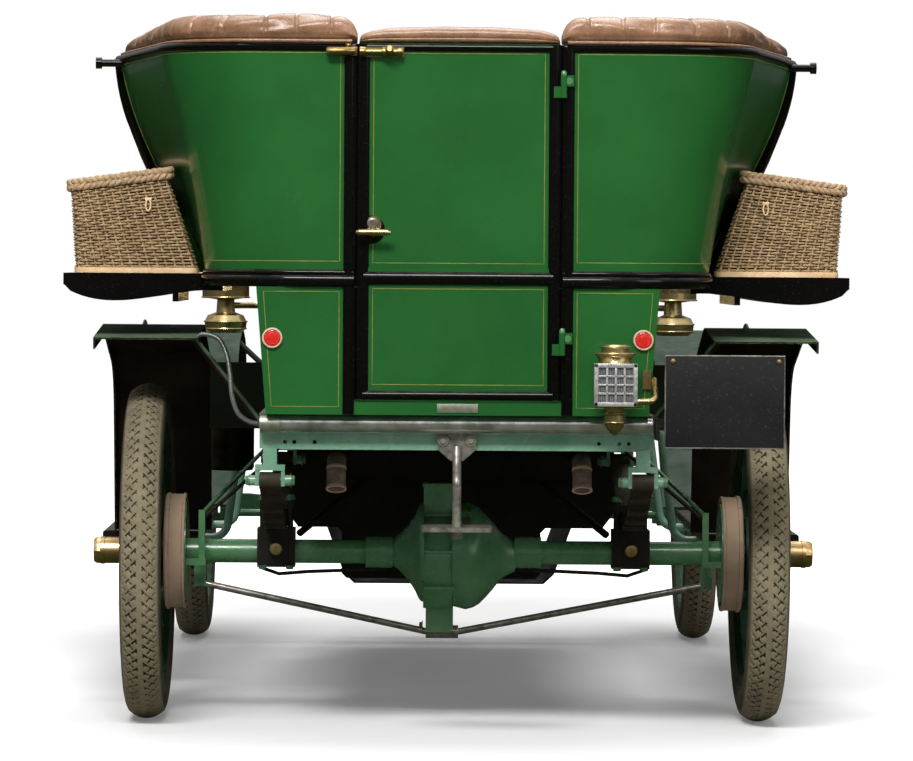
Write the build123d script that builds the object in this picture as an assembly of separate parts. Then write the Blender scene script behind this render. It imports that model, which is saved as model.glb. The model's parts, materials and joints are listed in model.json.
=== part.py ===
"""A rear-entrance tonneau car of about 1904, drawn in millimetres.

Every piece is drawn with y measured forward from the rear axle, x to the right and z up
from the ground, and is moved forward by REAR_AXLE_Y when it is saved, so that the origin
lies on the ground under the middle of the whole car.
"""
from math import sqrt
import os

from build123d import *

# Wheels and track
WHEELBASE = 2300
TRACK = 1386
TYRE_RADIUS = 380
TYRE_HALF_WIDTH = 46
TYRE_SHOULDER = 39
TYRE_BASE = 288
RIM_LIP = 298
RIM_HALF_WIDTH = 34
FELLOE_INNER = 254
FELLOE_HALF_WIDTH = 24
SPOKES = 12
SPOKE_FOOT = 19
SPOKE_TIP = 14
HUB_RADIUS = 46
HUB_FLANGE = 84
HUB_CAP_RADIUS = 28.5
HUB_REACH = 121
DRUM_RADIUS = 128
DRUM_WALL = 8
AXLE_END_RADIUS = 20

# Chassis frame
RAIL_OUTER = 425
RAIL_WIDTH = 45
RAIL_TOP = 711
RAIL_DEPTH = 76
RAIL_WALL = 6
RAIL_REAR = -540
RAIL_FRONT = 2390
TUBE_RADIUS = 20.5
TUBE_HALF = 420
CROSS_DEPTH = 36
CROSS_WALL = 8
CROSS_HOLE_RADIUS = 4.5
CROSS_HOLES = (306, 350, 370)

# Springs and axles
SPRING_X = 402
SPRING_WIDTH = 46
LEAF = 8
REAR_SPRING_HALF = 530
REAR_SPRING_EYE = 566
REAR_SPRING_MID = 474
FRONT_SPRING_HALF = 400
FRONT_SPRING_EYE = 566
FRONT_SPRING_MID = 446
SHACKLE_PIN = 11.5
SHACKLE_PIN_HALF = 44
AXLE_TUBE = 27
AXLE_SLEEVE = 36
DRAW_BAR = 7
KINGPIN_X = 600
KINGPIN = 11
STEER_ARM = 160
TRACK_ARM = 150
DROP_ARM = 180
DRAG_LINK_X = 440
STEERING_BOX_Y = 1550
STEERING_BOX_Z = 690
COLUMN_X = 280
COLUMN_RADIUS = 14
COLUMN_TOP = (COLUMN_X, 985, 1350)
STEERING_WHEEL_RADIUS = 200

# Bodywork
REAR_FACE = -600
PANEL = 25
BODY_HALF_TOP = 432
BODY_HALF_BOTTOM = 410
WAIST = 1010
WAIST_RAIL = 26
TONNEAU_TOP = 1505
DOOR_HALF = 215
DOOR_GAP = 7.5
DOOR_BOTTOM = 743
BEAD_WIDTH = 12
BEAD_PROUD = 5
HINGE_PIN = 5
HINGE_Y = REAR_FACE - 12
ROLL_HEIGHT = 62
ROLL_HALF_WIDTH = 44
DOOR_ROLL_HEIGHT = 30
DOOR_ROLL_INSET = 7
STUD_RADIUS = 7
STUD_REACH = 45
SEAT_BOARD = 15
FLOOR = 20
DASH_Y = 1380
DASH_THICK = 25
BONNET_HALF = 320
BONNET_TOP = 1100
BONNET_SHEET = 4
BONNET_HINGE_X = 26
BONNET_STRIP = 16
RADIATOR_Y = 2210
RADIATOR_DEPTH = 110

# Baskets and their shelves
BASKET_REAR = -300
BASKET_LENGTH = 500
BASKET_TAPER = 20
BASKET_OUTER_TOP = 1189
BASKET_INNER_TOP = 1218
BASKET_WALL = 12
LID_THICK = 25
LID_LAP = 6
SHELF_OUTER = 866
BASKET_INSET = 4
BASKET_OUTER = SHELF_OUTER - BASKET_INSET
SHELF_SAG = 34

# The baskets' inner sides at the rear and at the front: x at the base, at the top and of the lid
BASKET_INNER = ((566, 630, 620), (592, 712, 706))

# Mudguards and running boards
GUARD_SHEET = 4
REAR_GUARD_INNER = 570
REAR_GUARD_OUTER = 800
FRONT_GUARD_INNER = 565
FRONT_GUARD_OUTER = 840
BOARD_TOP = 395
BOARD_THICK = 20

# Lamps, number plate and door furniture
TAIL_LAMP_X = 333
TAIL_LAMP_BACK = 84
TAIL_LAMP_HALF = 45
TAIL_LAMP_LOW = 737
TAIL_LAMP_TOP = 826
SIDE_LAMP_X = 572
HEADLAMP_X = 392
HEADLAMP_Z = 905
PLATE_LEFT = 444
PLATE_RIGHT = 699
PLATE_LOW = 645
PLATE_TOP = 842
HINGE_HEIGHTS = (865, 1415)
HINGE_LEAF = 24
HANDLE_X = -182
HANDLE_Z = 1101
STOP_LAP = 6
STOP_THICK = 12

# Clearances: between pieces that seat on each other, and between pieces that move
SEAT = 0.3
RUN = 5

# Places worked out from the sizes above
REAR_AXLE_Y = -1030
WHEEL_X = TRACK / 2
FRONT_AXLE_Y = WHEELBASE
RAIL_INNER = RAIL_OUTER - RAIL_WIDTH
RAIL_BOTTOM = RAIL_TOP - RAIL_DEPTH
BODY_BOTTOM = RAIL_TOP
TUBE_Z = RAIL_TOP - TUBE_RADIUS
TUBE_Y = RAIL_REAR - TUBE_RADIUS - SEAT
POST_X = DOOR_HALF + DOOR_GAP
FLOOR_TOP = BODY_BOTTOM + FLOOR
SHELF_TOP = WAIST
COLUMN_FOOT = (COLUMN_X, STEERING_BOX_Y - 10, STEERING_BOX_Z + 12)
COLUMN_LEAN = Vector(*COLUMN_TOP) - Vector(*COLUMN_FOOT)

# Tonneau plan at each height: z, half width at the front edge, x of the rear corner
# before it is rounded, y of the front edge
TONNEAU = (
    (WAIST, 575, 540, 300),
    (1140, 635, 546, 225),
    (1260, 695, 556, 165),
    (1400, 752, 585, 128),
    (TONNEAU_TOP, 775, 610, 120),
)
TONNEAU_CORNER = 220


def block(x0, x1, y0, y1, z0, z1):
    """A box between three pairs of faces."""
    middle = Pos((x0 + x1) / 2, (y0 + y1) / 2, (z0 + z1) / 2)
    return middle * Box(abs(x1 - x0), abs(y1 - y0), abs(z1 - z0))


def rod(start, end, radius):
    """A round bar between two points."""
    line = Vector(*end) - Vector(*start)
    foot = (Align.CENTER, Align.CENTER, Align.MIN)
    return Plane(origin=start, z_dir=line) * Cylinder(radius, line.length, align=foot)


def bent_bar(points, radius, bends):
    """A round bar along straight runs joined by arcs of the given radii."""
    path = FilletPolyline(*points, radius=bends)
    return sweep(Plane(origin=path @ 0, z_dir=path % 0) * Circle(radius), path=path)


def turned(profile, origin, direction):
    """A turned piece: (along, radius) points about a line from origin."""
    normal = Vector(*direction).cross(Vector(1, 0, 0)) if direction[0] == 0 else Vector(0, 0, 1)
    side = Plane(origin=origin, x_dir=direction, z_dir=normal)
    return revolve(side * make_face(Polyline(*profile, close=True)), axis=Axis(origin, direction))


def slab_yz(points, x0, x1):
    """A plate cut to an outline of (y, z) points, between two planes of x."""
    face = Plane((x0, 0, 0), x_dir=(0, 1, 0), z_dir=(1, 0, 0)) * make_face(Polyline(*points, close=True))
    return extrude(face, amount=x1 - x0)


def slab_xz(points, y0, y1):
    """A plate cut to an outline of (x, z) points, between two planes of y."""
    face = Plane((0, y1, 0), x_dir=(1, 0, 0), z_dir=(0, -1, 0)) * make_face(Polyline(*points, close=True))
    return extrude(face, amount=y1 - y0)


def slab_xy(points, z0, z1):
    """A plate cut to an outline of (x, y) points, between two heights."""
    return extrude(Plane((0, 0, z0)) * make_face(Polyline(*points, close=True)), amount=z1 - z0)


def mirrored(shape):
    """The same piece on the car's other side."""
    return mirror(shape, about=Plane.YZ)


def both(shape):
    """A piece and its mirror image."""
    return shape + mirrored(shape)


def save(node, shape):
    """Writes one node, moved from the rear axle to the car's own frame."""
    export_step(Pos(0, REAR_AXLE_Y, 0) * shape, f"parts/{node}.step")


# Wheels and tyres

def tyre():
    """A beaded-edge tyre about the x axis, with rounded walls and a crowned tread."""
    wall = TYRE_HALF_WIDTH
    edge = TYRE_RADIUS - 17
    foot = RIM_LIP + 1
    outline = Polyline((-TYRE_SHOULDER + 1, foot + 4), (-RIM_HALF_WIDTH, foot), (-RIM_HALF_WIDTH, TYRE_BASE),
                       (RIM_HALF_WIDTH, TYRE_BASE), (RIM_HALF_WIDTH, foot), (TYRE_SHOULDER - 1, foot + 4))
    right = ThreePointArc((TYRE_SHOULDER - 1, foot + 4), (wall, foot + 36), (TYRE_SHOULDER, edge))
    crown = ThreePointArc((TYRE_SHOULDER, edge), (0, TYRE_RADIUS), (-TYRE_SHOULDER, edge))
    left = ThreePointArc((-TYRE_SHOULDER, edge), (-wall, foot + 36), (-TYRE_SHOULDER + 1, foot + 4))
    return revolve(make_face(outline + right + crown + left), axis=Axis.X)


def wheel(drum):
    """A wooden artillery wheel about the x axis, its outer side towards +x."""
    rim_top = TYRE_BASE - SEAT
    lip = RIM_HALF_WIDTH + SEAT
    rim = revolve(make_face(Polyline(
        (-FELLOE_HALF_WIDTH, FELLOE_INNER), (FELLOE_HALF_WIDTH, FELLOE_INNER),
        (FELLOE_HALF_WIDTH, rim_top - 6), (lip + 4, rim_top - 6), (lip + 4, RIM_LIP), (lip, RIM_LIP),
        (lip, rim_top), (-lip, rim_top), (-lip, RIM_LIP), (-lip - 4, RIM_LIP),
        (-lip - 4, rim_top - 6), (-FELLOE_HALF_WIDTH, rim_top - 6), close=True)), axis=Axis.X)
    bore = AXLE_END_RADIUS + SEAT
    flange = (FELLOE_HALF_WIDTH, FELLOE_HALF_WIDTH + 8)
    hub = revolve(make_face(Polyline(
        (-45, bore), (-45, HUB_RADIUS), (-flange[1], HUB_RADIUS), (-flange[1], HUB_FLANGE),
        (-flange[0], HUB_FLANGE), (-flange[0], 60), (flange[0], 60), (flange[0], HUB_FLANGE),
        (flange[1], HUB_FLANGE), (flange[1], HUB_RADIUS), (52, 40), (60, HUB_CAP_RADIUS),
        (HUB_REACH - 6, HUB_CAP_RADIUS), (HUB_REACH, HUB_CAP_RADIUS - 5), (HUB_REACH, 0), (70, 0),
        (70, bore), close=True)), axis=Axis.X)
    spoke = loft([Plane(origin=(0, 0, 50)) * Circle(SPOKE_FOOT),
                  Plane(origin=(0, 0, FELLOE_INNER + 4)) * Circle(SPOKE_TIP)])
    spokes = [Rot(360 / SPOKES * turn, 0, 0) * spoke for turn in range(SPOKES)]
    body = rim + hub + spokes
    if drum:
        web = -49
        body += revolve(make_face(Polyline(
            (web + DRUM_WALL, bore + 10), (web + DRUM_WALL, DRUM_RADIUS), (-86, DRUM_RADIUS),
            (-86, DRUM_RADIUS - DRUM_WALL), (web, DRUM_RADIUS - DRUM_WALL), (web, bore + 10),
            close=True)), axis=Axis.X)
    return body


# Chassis

def rail():
    """The right-hand side rail: a channel open inwards, with a dumb iron down to the spring."""
    channel = block(RAIL_INNER, RAIL_OUTER, RAIL_REAR, RAIL_FRONT, RAIL_BOTTOM, RAIL_TOP)
    channel -= block(RAIL_INNER - 1, RAIL_OUTER - RAIL_WALL, RAIL_REAR + 40, RAIL_FRONT - 40,
                     RAIL_BOTTOM + RAIL_WALL, RAIL_TOP - RAIL_WALL)
    eye_y = FRONT_AXLE_Y + FRONT_SPRING_HALF
    iron = slab_yz(((RAIL_FRONT - 1, RAIL_TOP), (RAIL_FRONT - 1, RAIL_BOTTOM), (eye_y - 120, RAIL_BOTTOM - 8),
                    (eye_y - 24, FRONT_SPRING_EYE + 26), (eye_y + 24, FRONT_SPRING_EYE + 26),
                    (eye_y + 6, FRONT_SPRING_EYE + 62), (eye_y - 110, RAIL_TOP - 20)), RAIL_INNER, RAIL_OUTER)
    return channel + iron


def hanger(y, z_top, z_pin):
    """A forged hanger with two cheeks and the pin that holds a spring's eye."""
    cheek = SPRING_WIDTH / 2 + 1
    stem = block(SPRING_X - 15, SPRING_X + 15, y - 15, y + 15, z_pin + 22, z_top)
    crown = block(SPRING_X - cheek - 8, SPRING_X + cheek + 8, y - 15, y + 15, z_pin + 22, z_pin + 34)
    inner = block(SPRING_X - cheek - 8, SPRING_X - cheek, y - 13, y + 13, z_pin - 12, z_pin + 24)
    outer = block(SPRING_X + cheek, SPRING_X + cheek + 8, y - 13, y + 13, z_pin - 12, z_pin + 24)
    pin = rod((SPRING_X - SHACKLE_PIN_HALF, y, z_pin), (SPRING_X + SHACKLE_PIN_HALF, y, z_pin), SHACKLE_PIN)
    return stem + crown + inner + outer + pin


def frame():
    """Side rails, cross-members, spring hangers and running board brackets in one frame."""
    side = rail()
    side += hanger(-REAR_SPRING_HALF, RAIL_BOTTOM + 1, REAR_SPRING_EYE)
    side += hanger(REAR_SPRING_HALF, RAIL_BOTTOM + 1, REAR_SPRING_EYE)
    side += hanger(FRONT_AXLE_Y - FRONT_SPRING_HALF, RAIL_BOTTOM + 1, FRONT_SPRING_EYE)
    side += hanger(FRONT_AXLE_Y + FRONT_SPRING_HALF, FRONT_SPRING_EYE + 40, FRONT_SPRING_EYE)
    for y in (750, 1300):
        side += block(RAIL_OUTER - 3, 470, y - 12, y + 12, RAIL_BOTTOM, RAIL_BOTTOM + 12)
        side += bent_bar(((465, y, RAIL_BOTTOM + 6), (510, y, RAIL_BOTTOM + 6),
                          (546, y, BOARD_TOP - BOARD_THICK - 10 - SEAT),
                          (800, y, BOARD_TOP - BOARD_THICK - 10 - SEAT)), 10, [30, 40])
    shaft = rod((RAIL_INNER - 5, STEERING_BOX_Y, STEERING_BOX_Z),
                (RAIL_OUTER + 5, STEERING_BOX_Y, STEERING_BOX_Z),
                12 + SEAT)
    body = mirrored(side) + (side - shaft)
    inner = RAIL_INNER + 2
    plate_top = TUBE_Z - TUBE_RADIUS - SEAT
    plate = block(-inner, inner, RAIL_REAR, RAIL_REAR + CROSS_WALL, plate_top - CROSS_DEPTH, plate_top)
    plate += block(-inner, inner, RAIL_REAR, RAIL_REAR + 40, plate_top - CROSS_WALL, plate_top)
    for x in CROSS_HOLES:
        for side_x in (-x, x):
            hole_z = plate_top - CROSS_DEPTH / 2 - 2
            plate -= rod((side_x, RAIL_REAR - 5, hole_z), (side_x, RAIL_REAR + 15, hole_z), CROSS_HOLE_RADIUS)
    body += plate
    for y, radius in ((700, 24), (1250, 24), (2165, 22)):
        reach = RAIL_OUTER - RAIL_WALL + 1
        body += rod((-reach, y, RAIL_BOTTOM + 32), (reach, y, RAIL_BOTTOM + 32), radius)
    return body


def rear_tube():
    """The glossy tube across the frame's rear end."""
    return rod((-TUBE_HALF, TUBE_Y, TUBE_Z), (TUBE_HALF, TUBE_Y, TUBE_Z), TUBE_RADIUS)


def rear_step():
    """The central step: a T-shaped bracket, a round stem, a plate and its nut."""
    face = RAIL_REAR - SEAT
    plate_top = TUBE_Z - TUBE_RADIUS - SEAT
    bracket = slab_xz(((-41, plate_top), (41, plate_top), (41, plate_top - 34), (14, plate_top - 58),
                       (-14, plate_top - 58), (-41, plate_top - 34)), face - 10, face)
    stem = bent_bar(((0, face - 10, plate_top - 30), (0, face - 30, plate_top - 70),
                     (0, face - 60, plate_top - 100),
                     (0, face - 60, 464)), 9.5, [40, 25])
    plate = block(-75, 75, face - 120, face, 464, 474)
    nut = rod((0, face - 60, 446), (0, face - 60, 465), 14)
    return bracket + stem + fillet(plate.edges().filter_by(Axis.Z), 18) + nut


def leaf(depth, half, reach, sag):
    """One leaf's side outline: a strip between two arcs about a centre high above."""
    radius = (reach * reach + sag * sag) / (2 * sag)
    upper = radius + depth
    lower = upper + LEAF
    drop_upper = radius - sqrt(upper * upper - half * half)
    drop_lower = radius - sqrt(lower * lower - half * half)
    top = ThreePointArc((-half, drop_upper), (0, -depth), (half, drop_upper))
    base = ThreePointArc((half, drop_lower), (0, -depth - LEAF), (-half, drop_lower))
    ends = Line((half, drop_upper), (half, drop_lower)) + Line((-half, drop_lower), (-half, drop_upper))
    return make_face(top + base + ends)


def spring(axle_y, reach, eye_z, mid_z, shares):
    """A leaf spring over an axle: shares gives each leaf's length as a share of the first."""
    sag = eye_z - mid_z
    side = Plane((SPRING_X - SPRING_WIDTH / 2, axle_y, mid_z), x_dir=(0, 1, 0), z_dir=(1, 0, 0))
    stack = None
    for number, share in enumerate(shares):
        strip = extrude(side * leaf(LEAF * number, reach * share, reach, sag), amount=SPRING_WIDTH)
        stack = strip if stack is None else stack + strip
    for end in (-1, 1):
        y = axle_y + end * reach
        left = (SPRING_X - SPRING_WIDTH / 2, y, eye_z)
        right = (SPRING_X + SPRING_WIDTH / 2, y, eye_z)
        stack += rod(left, right, SHACKLE_PIN + 7)
        stack -= rod((left[0] - 1, y, eye_z), (right[0] + 1, y, eye_z), SHACKLE_PIN + SEAT)
    return stack


def springs():
    """Four leaf springs: rear and front, left and right."""
    rear = spring(0, REAR_SPRING_HALF, REAR_SPRING_EYE, REAR_SPRING_MID, (1, 0.82, 0.62, 0.42, 0.25))
    front = spring(FRONT_AXLE_Y, FRONT_SPRING_HALF, FRONT_SPRING_EYE, FRONT_SPRING_MID, (1, 0.8, 0.58, 0.36))
    return both(rear + front)


def rear_axle():
    """The live axle: tubes, sleeves, the two halves of its gear case, lugs and truss rod."""
    centre = TYRE_RADIUS
    tube_end = 604
    axle = turned(((0, AXLE_TUBE), (0, 0), (WHEEL_X + 65, 0), (WHEEL_X + 65, AXLE_END_RADIUS),
                   (tube_end, AXLE_END_RADIUS), (tube_end, AXLE_TUBE + 2), (553, AXLE_TUBE + 2),
                   (553, AXLE_TUBE),
                   (199, AXLE_TUBE), (199, AXLE_SLEEVE), (138, AXLE_SLEEVE), (138, AXLE_TUBE)),
                   (0, 0, centre), (1, 0, 0))
    axle = both(axle)
    bell = turned(((-140, 0), (-140, 30), (-115, 36), (-92, 54), (-68, 78), (-68, 0)), (0, 0, centre),
                  (1, 0, 0))
    band = turned(((-68, 0), (-68, 107), (-36, 111), (-3, 107), (-3, 0)), (0, 0, centre - 20), (1, 0, 0))
    case = turned(((-3, 0), (-3, 112), (28, 120), (58, 108), (88, 76), (112, 48), (140, 34), (140, 0)),
                  (0, 0, centre - 8), (1, 0, 0))
    top_lug = block(-68, 0, -34, 34, centre + 60, centre + 158)
    bottom_lug = block(-62, 0, -20, 20, 199, centre - 90)
    truss_clamp = turned(((-36, 0), (-36, 14), (36, 14), (36, 0)), (-25, 0, 199), (1, 0, 0))
    nose = turned(((0, 0), (0, 64), (120, 60), (200, 34), (560, 28), (560, 0)), (-10, 40, centre + 8),
                  (0, 1, 0.16))
    body = axle + bell + band + case + top_lug + bottom_lug + truss_clamp + nose
    for side in (-1, 1):
        body += block(side * 562, side * 588, -10, 10, 300, centre)
        body += rod((side * 575, 0, 308), (side * 20 - 25, 0, 196), DRAW_BAR)
    return body


def axle_clamps():
    """The blocks that clamp each spring to its axle, with a round cap behind."""
    rear_base = REAR_SPRING_MID - 5 * LEAF - SEAT
    rear = block(SPRING_X - 43, SPRING_X + 43, -38, 38, TYRE_RADIUS - 34, rear_base)
    rear += turned(((0, 0), (0, 14), (10, 14), (14, 9), (14, 0)), (SPRING_X, -38, TYRE_RADIUS + 8),
                   (0, -1, 0))
    rear -= rod((SPRING_X - 50, 0, TYRE_RADIUS), (SPRING_X + 50, 0, TYRE_RADIUS), AXLE_TUBE + SEAT)
    for side_x in (-SPRING_WIDTH / 2 - 8, SPRING_WIDTH / 2 + 8):
        for y in (-33, 33):
            rear += rod((SPRING_X + side_x, y, TYRE_RADIUS - 30),
                        (SPRING_X + side_x, y, REAR_SPRING_MID + 24), 6)
    rear += block(SPRING_X - 38, SPRING_X + 38, -34, 34, REAR_SPRING_MID + 4 + SEAT, REAR_SPRING_MID + 16)
    return both(rear)


def brake_gear():
    """Back plates for the drums, cam levers and the long pull rods."""
    plate = turned(((604 + SEAT, AXLE_END_RADIUS + SEAT), (604 + SEAT, DRUM_RADIUS - 14),
                    (609, DRUM_RADIUS - 14), (609, AXLE_END_RADIUS + SEAT)), (0, 0, TYRE_RADIUS), (1, 0, 0))
    plate += block(560, 604 + SEAT, -70, -50, TYRE_RADIUS - 28, TYRE_RADIUS - 14)
    plate += block(562, 576, -68, -52, TYRE_RADIUS - 22, TYRE_RADIUS + 96)
    plate += rod((569, -60, TYRE_RADIUS + 88), (RAIL_OUTER + 15, 640, RAIL_BOTTOM - 40), 5)
    plate += block(RAIL_OUTER + SEAT, RAIL_OUTER + 22, 630, 650, RAIL_BOTTOM - 50, RAIL_BOTTOM + 30)
    return both(plate)


def exhaust():
    """Silencer across the frame with two tail pipes that turn down behind."""
    silencer = rod((-300, 330, 585), (300, 330, 585), 62)
    for side_x in (-262, 278):
        silencer += bent_bar(((side_x, 300, 600), (side_x, -330, 600), (side_x, -356, 540)), 21, [50])
    hollow = [rod((side_x, -352, 552), (side_x, -358, 536), 18) for side_x in (-262, 278)]
    inlet = rod((-209.5, 380, 600), (-209.5, 1700, 600), 19)
    return silencer - hollow + inlet


def engine():
    """Engine and gearbox as plain blocks at their real size and place."""
    crankcase = block(-190, 190, 1560, 2140, 480, 640)
    cylinders = block(-95, 95, 1640, 2080, 640, 930)
    gearbox = block(-150, 150, 760, 1190, 400, 640)
    shaft = rod((0, 1190, 545), (0, 1560, 545), 70)
    reach = RAIL_INNER - SEAT
    bearers = [block(-reach, reach, y, y + 34, 625, 640) for y in (800, 1640, 2050)]
    return crankcase + cylinders + gearbox + shaft + bearers


def undertray():
    """The folded sheet under the engine, open above."""
    top = RAIL_BOTTOM - SEAT
    outer = ((-398, top), (-262, 262), (-236, 238), (236, 238), (262, 262), (398, top))
    inner = ((394, top), (259, 265), (234, 242), (-234, 242), (-259, 265), (-394, top))
    return slab_xz(outer + inner, 1000, 1880)


def front_axle():
    """The forged beam with its spring pads and the eyes for the steering pins."""
    centre = TYRE_RADIUS
    beam = slab_xz(((-590, centre + 14), (-540, centre + 14), (-470, centre + 6), (470, centre + 6),
                    (540, centre + 14),
                    (590, centre + 14), (590, centre - 26), (540, centre - 30), (470, centre - 42),
                    (-470, centre - 42), (-540, centre - 30), (-590, centre - 26)), -22, 22)
    for face in (-1, 1):
        beam -= block(-450, 450, face * 10, face * 23, centre - 32, centre - 4)
    for side in (-1, 1):
        eye_x = side * KINGPIN_X
        beam += rod((eye_x, 0, centre - 40), (eye_x, 0, centre + 40), 24)
        beam -= rod((eye_x, 0, centre - 41), (eye_x, 0, centre + 41), KINGPIN + SEAT)
        pad_x = side * SPRING_X
        pad_top = FRONT_SPRING_MID - 4 * LEAF - SEAT
        beam += block(pad_x - 40, pad_x + 40, -32, 32, centre + 5, pad_top)
    return Pos(0, FRONT_AXLE_Y, 0) * beam


def knuckle(drive):
    """The right steering knuckle: yoke, kingpin, wheel spindle and its arms."""
    centre = TYRE_RADIUS
    x = KINGPIN_X
    gap = 40 + SEAT
    cheek = block(x + 30, WHEEL_X - 45 - RUN, -26, 26, centre - gap - 22, centre + gap + 22)
    upper = block(x, x + 34, -24, 24, centre + gap, centre + gap + 22) + rod((x, 0, centre + gap),
                                                                             (x, 0, centre + gap + 22), 24)
    lower = block(x, x + 34, -24, 24, centre - gap - 22, centre - gap) + rod((x, 0, centre - gap - 22),
                                                                             (x, 0, centre - gap), 24)
    pin = rod((x, 0, centre - gap - 28), (x, 0, centre + gap + 28), KINGPIN)
    spindle = rod((x + 31, 0, centre), (WHEEL_X + 65, 0, centre), AXLE_END_RADIUS)
    low = centre - gap - 11
    track_arm = slab_xy(((x - 12, -20), (x - 9, -TRACK_ARM), (x + 9, -TRACK_ARM), (x + 12, -20)), low - 6,
                        low + 6)
    track_arm += rod((x, -TRACK_ARM, low - 6), (x, -TRACK_ARM, low + 6), 15)
    track_arm += rod((x, -TRACK_ARM, low + 5), (x, -TRACK_ARM, low + 32), 8)
    body = cheek + upper + lower + pin + spindle + track_arm
    if drive:
        high = centre + gap + 22 - 6
        arm = block(x - STEER_ARM, x - 10, -9, 9, high - 6, high + 6)
        arm += rod((x - STEER_ARM, 0, high - 6), (x - STEER_ARM, 0, high + 6), 10)
        body += arm
    return Pos(0, FRONT_AXLE_Y, 0) * body


def track_rod():
    """The rod that joins the two knuckles' arms behind the front axle."""
    z = TYRE_RADIUS - 40 - SEAT - 11 + 20
    y = FRONT_AXLE_Y - TRACK_ARM
    bar = rod((-KINGPIN_X + 14, y, z), (KINGPIN_X - 14, y, z), 10)
    for side in (-1, 1):
        bar += rod((side * KINGPIN_X, y, z - 13), (side * KINGPIN_X, y, z + 13), 18)
        bar -= rod((side * KINGPIN_X, y, z - 14), (side * KINGPIN_X, y, z + 14), 8 + SEAT)
    return bar


def drop_arm():
    """The steering box's shaft and the arm that hangs from it outside the rail."""
    shaft = rod((RAIL_INNER, STEERING_BOX_Y, STEERING_BOX_Z), (465, STEERING_BOX_Y, STEERING_BOX_Z), 12)
    arm = slab_yz(((STEERING_BOX_Y - 20, STEERING_BOX_Z), (STEERING_BOX_Y + 20, STEERING_BOX_Z),
                   (STEERING_BOX_Y + 12, STEERING_BOX_Z - DROP_ARM),
                   (STEERING_BOX_Y - 12, STEERING_BOX_Z - DROP_ARM)),
                  453, 465)
    arm += rod((453, STEERING_BOX_Y, STEERING_BOX_Z), (465, STEERING_BOX_Y, STEERING_BOX_Z), 22)
    foot_z = STEERING_BOX_Z - DROP_ARM
    arm += rod((453, STEERING_BOX_Y, foot_z), (465, STEERING_BOX_Y, foot_z), 14)
    arm += rod((DRAG_LINK_X - 9, STEERING_BOX_Y, foot_z), (454, STEERING_BOX_Y, foot_z), 6)
    return shaft + arm


def drag_link():
    """The rod from the drop arm to the right knuckle's arm, open at its front eye."""
    foot_z = STEERING_BOX_Z - DROP_ARM
    eye_z = TYRE_RADIUS + 40 + SEAT + 22 + SEAT
    link = rod((DRAG_LINK_X, STEERING_BOX_Y + 12, foot_z - 1), (DRAG_LINK_X, FRONT_AXLE_Y - 8, eye_z + 9), 7)
    link += rod((DRAG_LINK_X - 8, STEERING_BOX_Y, foot_z), (DRAG_LINK_X + 8, STEERING_BOX_Y, foot_z), 14)
    link -= rod((DRAG_LINK_X - 10, STEERING_BOX_Y, foot_z), (DRAG_LINK_X + 10, STEERING_BOX_Y, foot_z),
                6 + SEAT)
    link += rod((DRAG_LINK_X, FRONT_AXLE_Y, eye_z), (DRAG_LINK_X, FRONT_AXLE_Y, eye_z + 18), 10)
    return link


def steering_column():
    """The steering box inside the rail and the fixed column up to the wheel."""
    axis_x = COLUMN_X
    box = block(axis_x - 45, RAIL_INNER - SEAT, STEERING_BOX_Y - 65, STEERING_BOX_Y + 65, RAIL_BOTTOM,
                RAIL_TOP)
    column = rod(COLUMN_FOOT, COLUMN_TOP, COLUMN_RADIUS)
    return box + column


def steering_wheel():
    """A wood-rimmed wheel with four arms on a brass boss."""
    centre = Vector(*COLUMN_TOP) + COLUMN_LEAN.normalized() * 28
    plane = Plane(origin=centre, z_dir=COLUMN_LEAN)
    wheel_rim = plane * Torus(STEERING_WHEEL_RADIUS, 13)
    boss = plane * Pos(0, 0, -14) * Cylinder(26, 2 * (14 - SEAT))
    arms = [plane * Rot(0, 0, 90 * turn + 45) * Pos(STEERING_WHEEL_RADIUS / 2, 0,
                                                    -6) * Box(STEERING_WHEEL_RADIUS, 20, 8)
            for turn in range(4)]
    hole = plane * Cylinder(6, 80)
    return wheel_rim + boss + arms - hole


def hand_levers():
    """Change-speed and brake levers with their quadrant, outside the body on the right."""
    quadrant = slab_yz(((980, RAIL_BOTTOM + 8), (1130, RAIL_BOTTOM + 8), (1150, 800), (1090, 850),
                        (1020, 850), (960, 800)),
                       RAIL_OUTER + SEAT, RAIL_OUTER + 14)
    levers = None
    for x, lean, top in ((RAIL_OUTER + 34, -40, 1180), (RAIL_OUTER + 62, 60, 1240)):
        lever = rod((x, 1055, 690), (x, 1055 + lean, top), 9) + rod((x, 1055 + lean, top),
                                                                    (x, 1055 + lean * 1.2, top + 110), 14)
        levers = lever if levers is None else levers + lever
    pivot = rod((RAIL_OUTER + 10, 1055, 690), (RAIL_OUTER + 80, 1055, 690), 16)
    return quadrant + pivot + levers


# Body

def door_stop(low, high):
    """A strip inside the right-hand door post that the closed door's edge laps."""
    inner_x = DOOR_HALF - STOP_LAP
    near = REAR_FACE + PANEL
    lap = block(inner_x, POST_X + 5.5, near + RUN, near + RUN + STOP_THICK, low, high)
    return lap + block(POST_X, POST_X + 5.5, near - 1, near + RUN + STOP_THICK, low, high)


def strip(z, half, corner, front, inset, width):
    """One height's plan of a tonneau side: a strip between two lines with a rounded corner."""
    outer_x = corner - inset
    outer_y = REAR_FACE + inset
    slope_x = half - inset
    outer = FilletPolyline((POST_X, outer_y), (outer_x, outer_y), (slope_x, front),
                           radius=TONNEAU_CORNER - inset)
    inner = FilletPolyline((POST_X, outer_y + width), (outer_x - width, outer_y + width),
                           (slope_x - width, front),
                           radius=TONNEAU_CORNER - inset - width)
    ends = Line((POST_X, outer_y), (POST_X, outer_y + width)) + Line((slope_x, front),
                                                                     (slope_x - width, front))
    return Plane((0, 0, z)) * make_face(outer + inner + ends)


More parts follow.
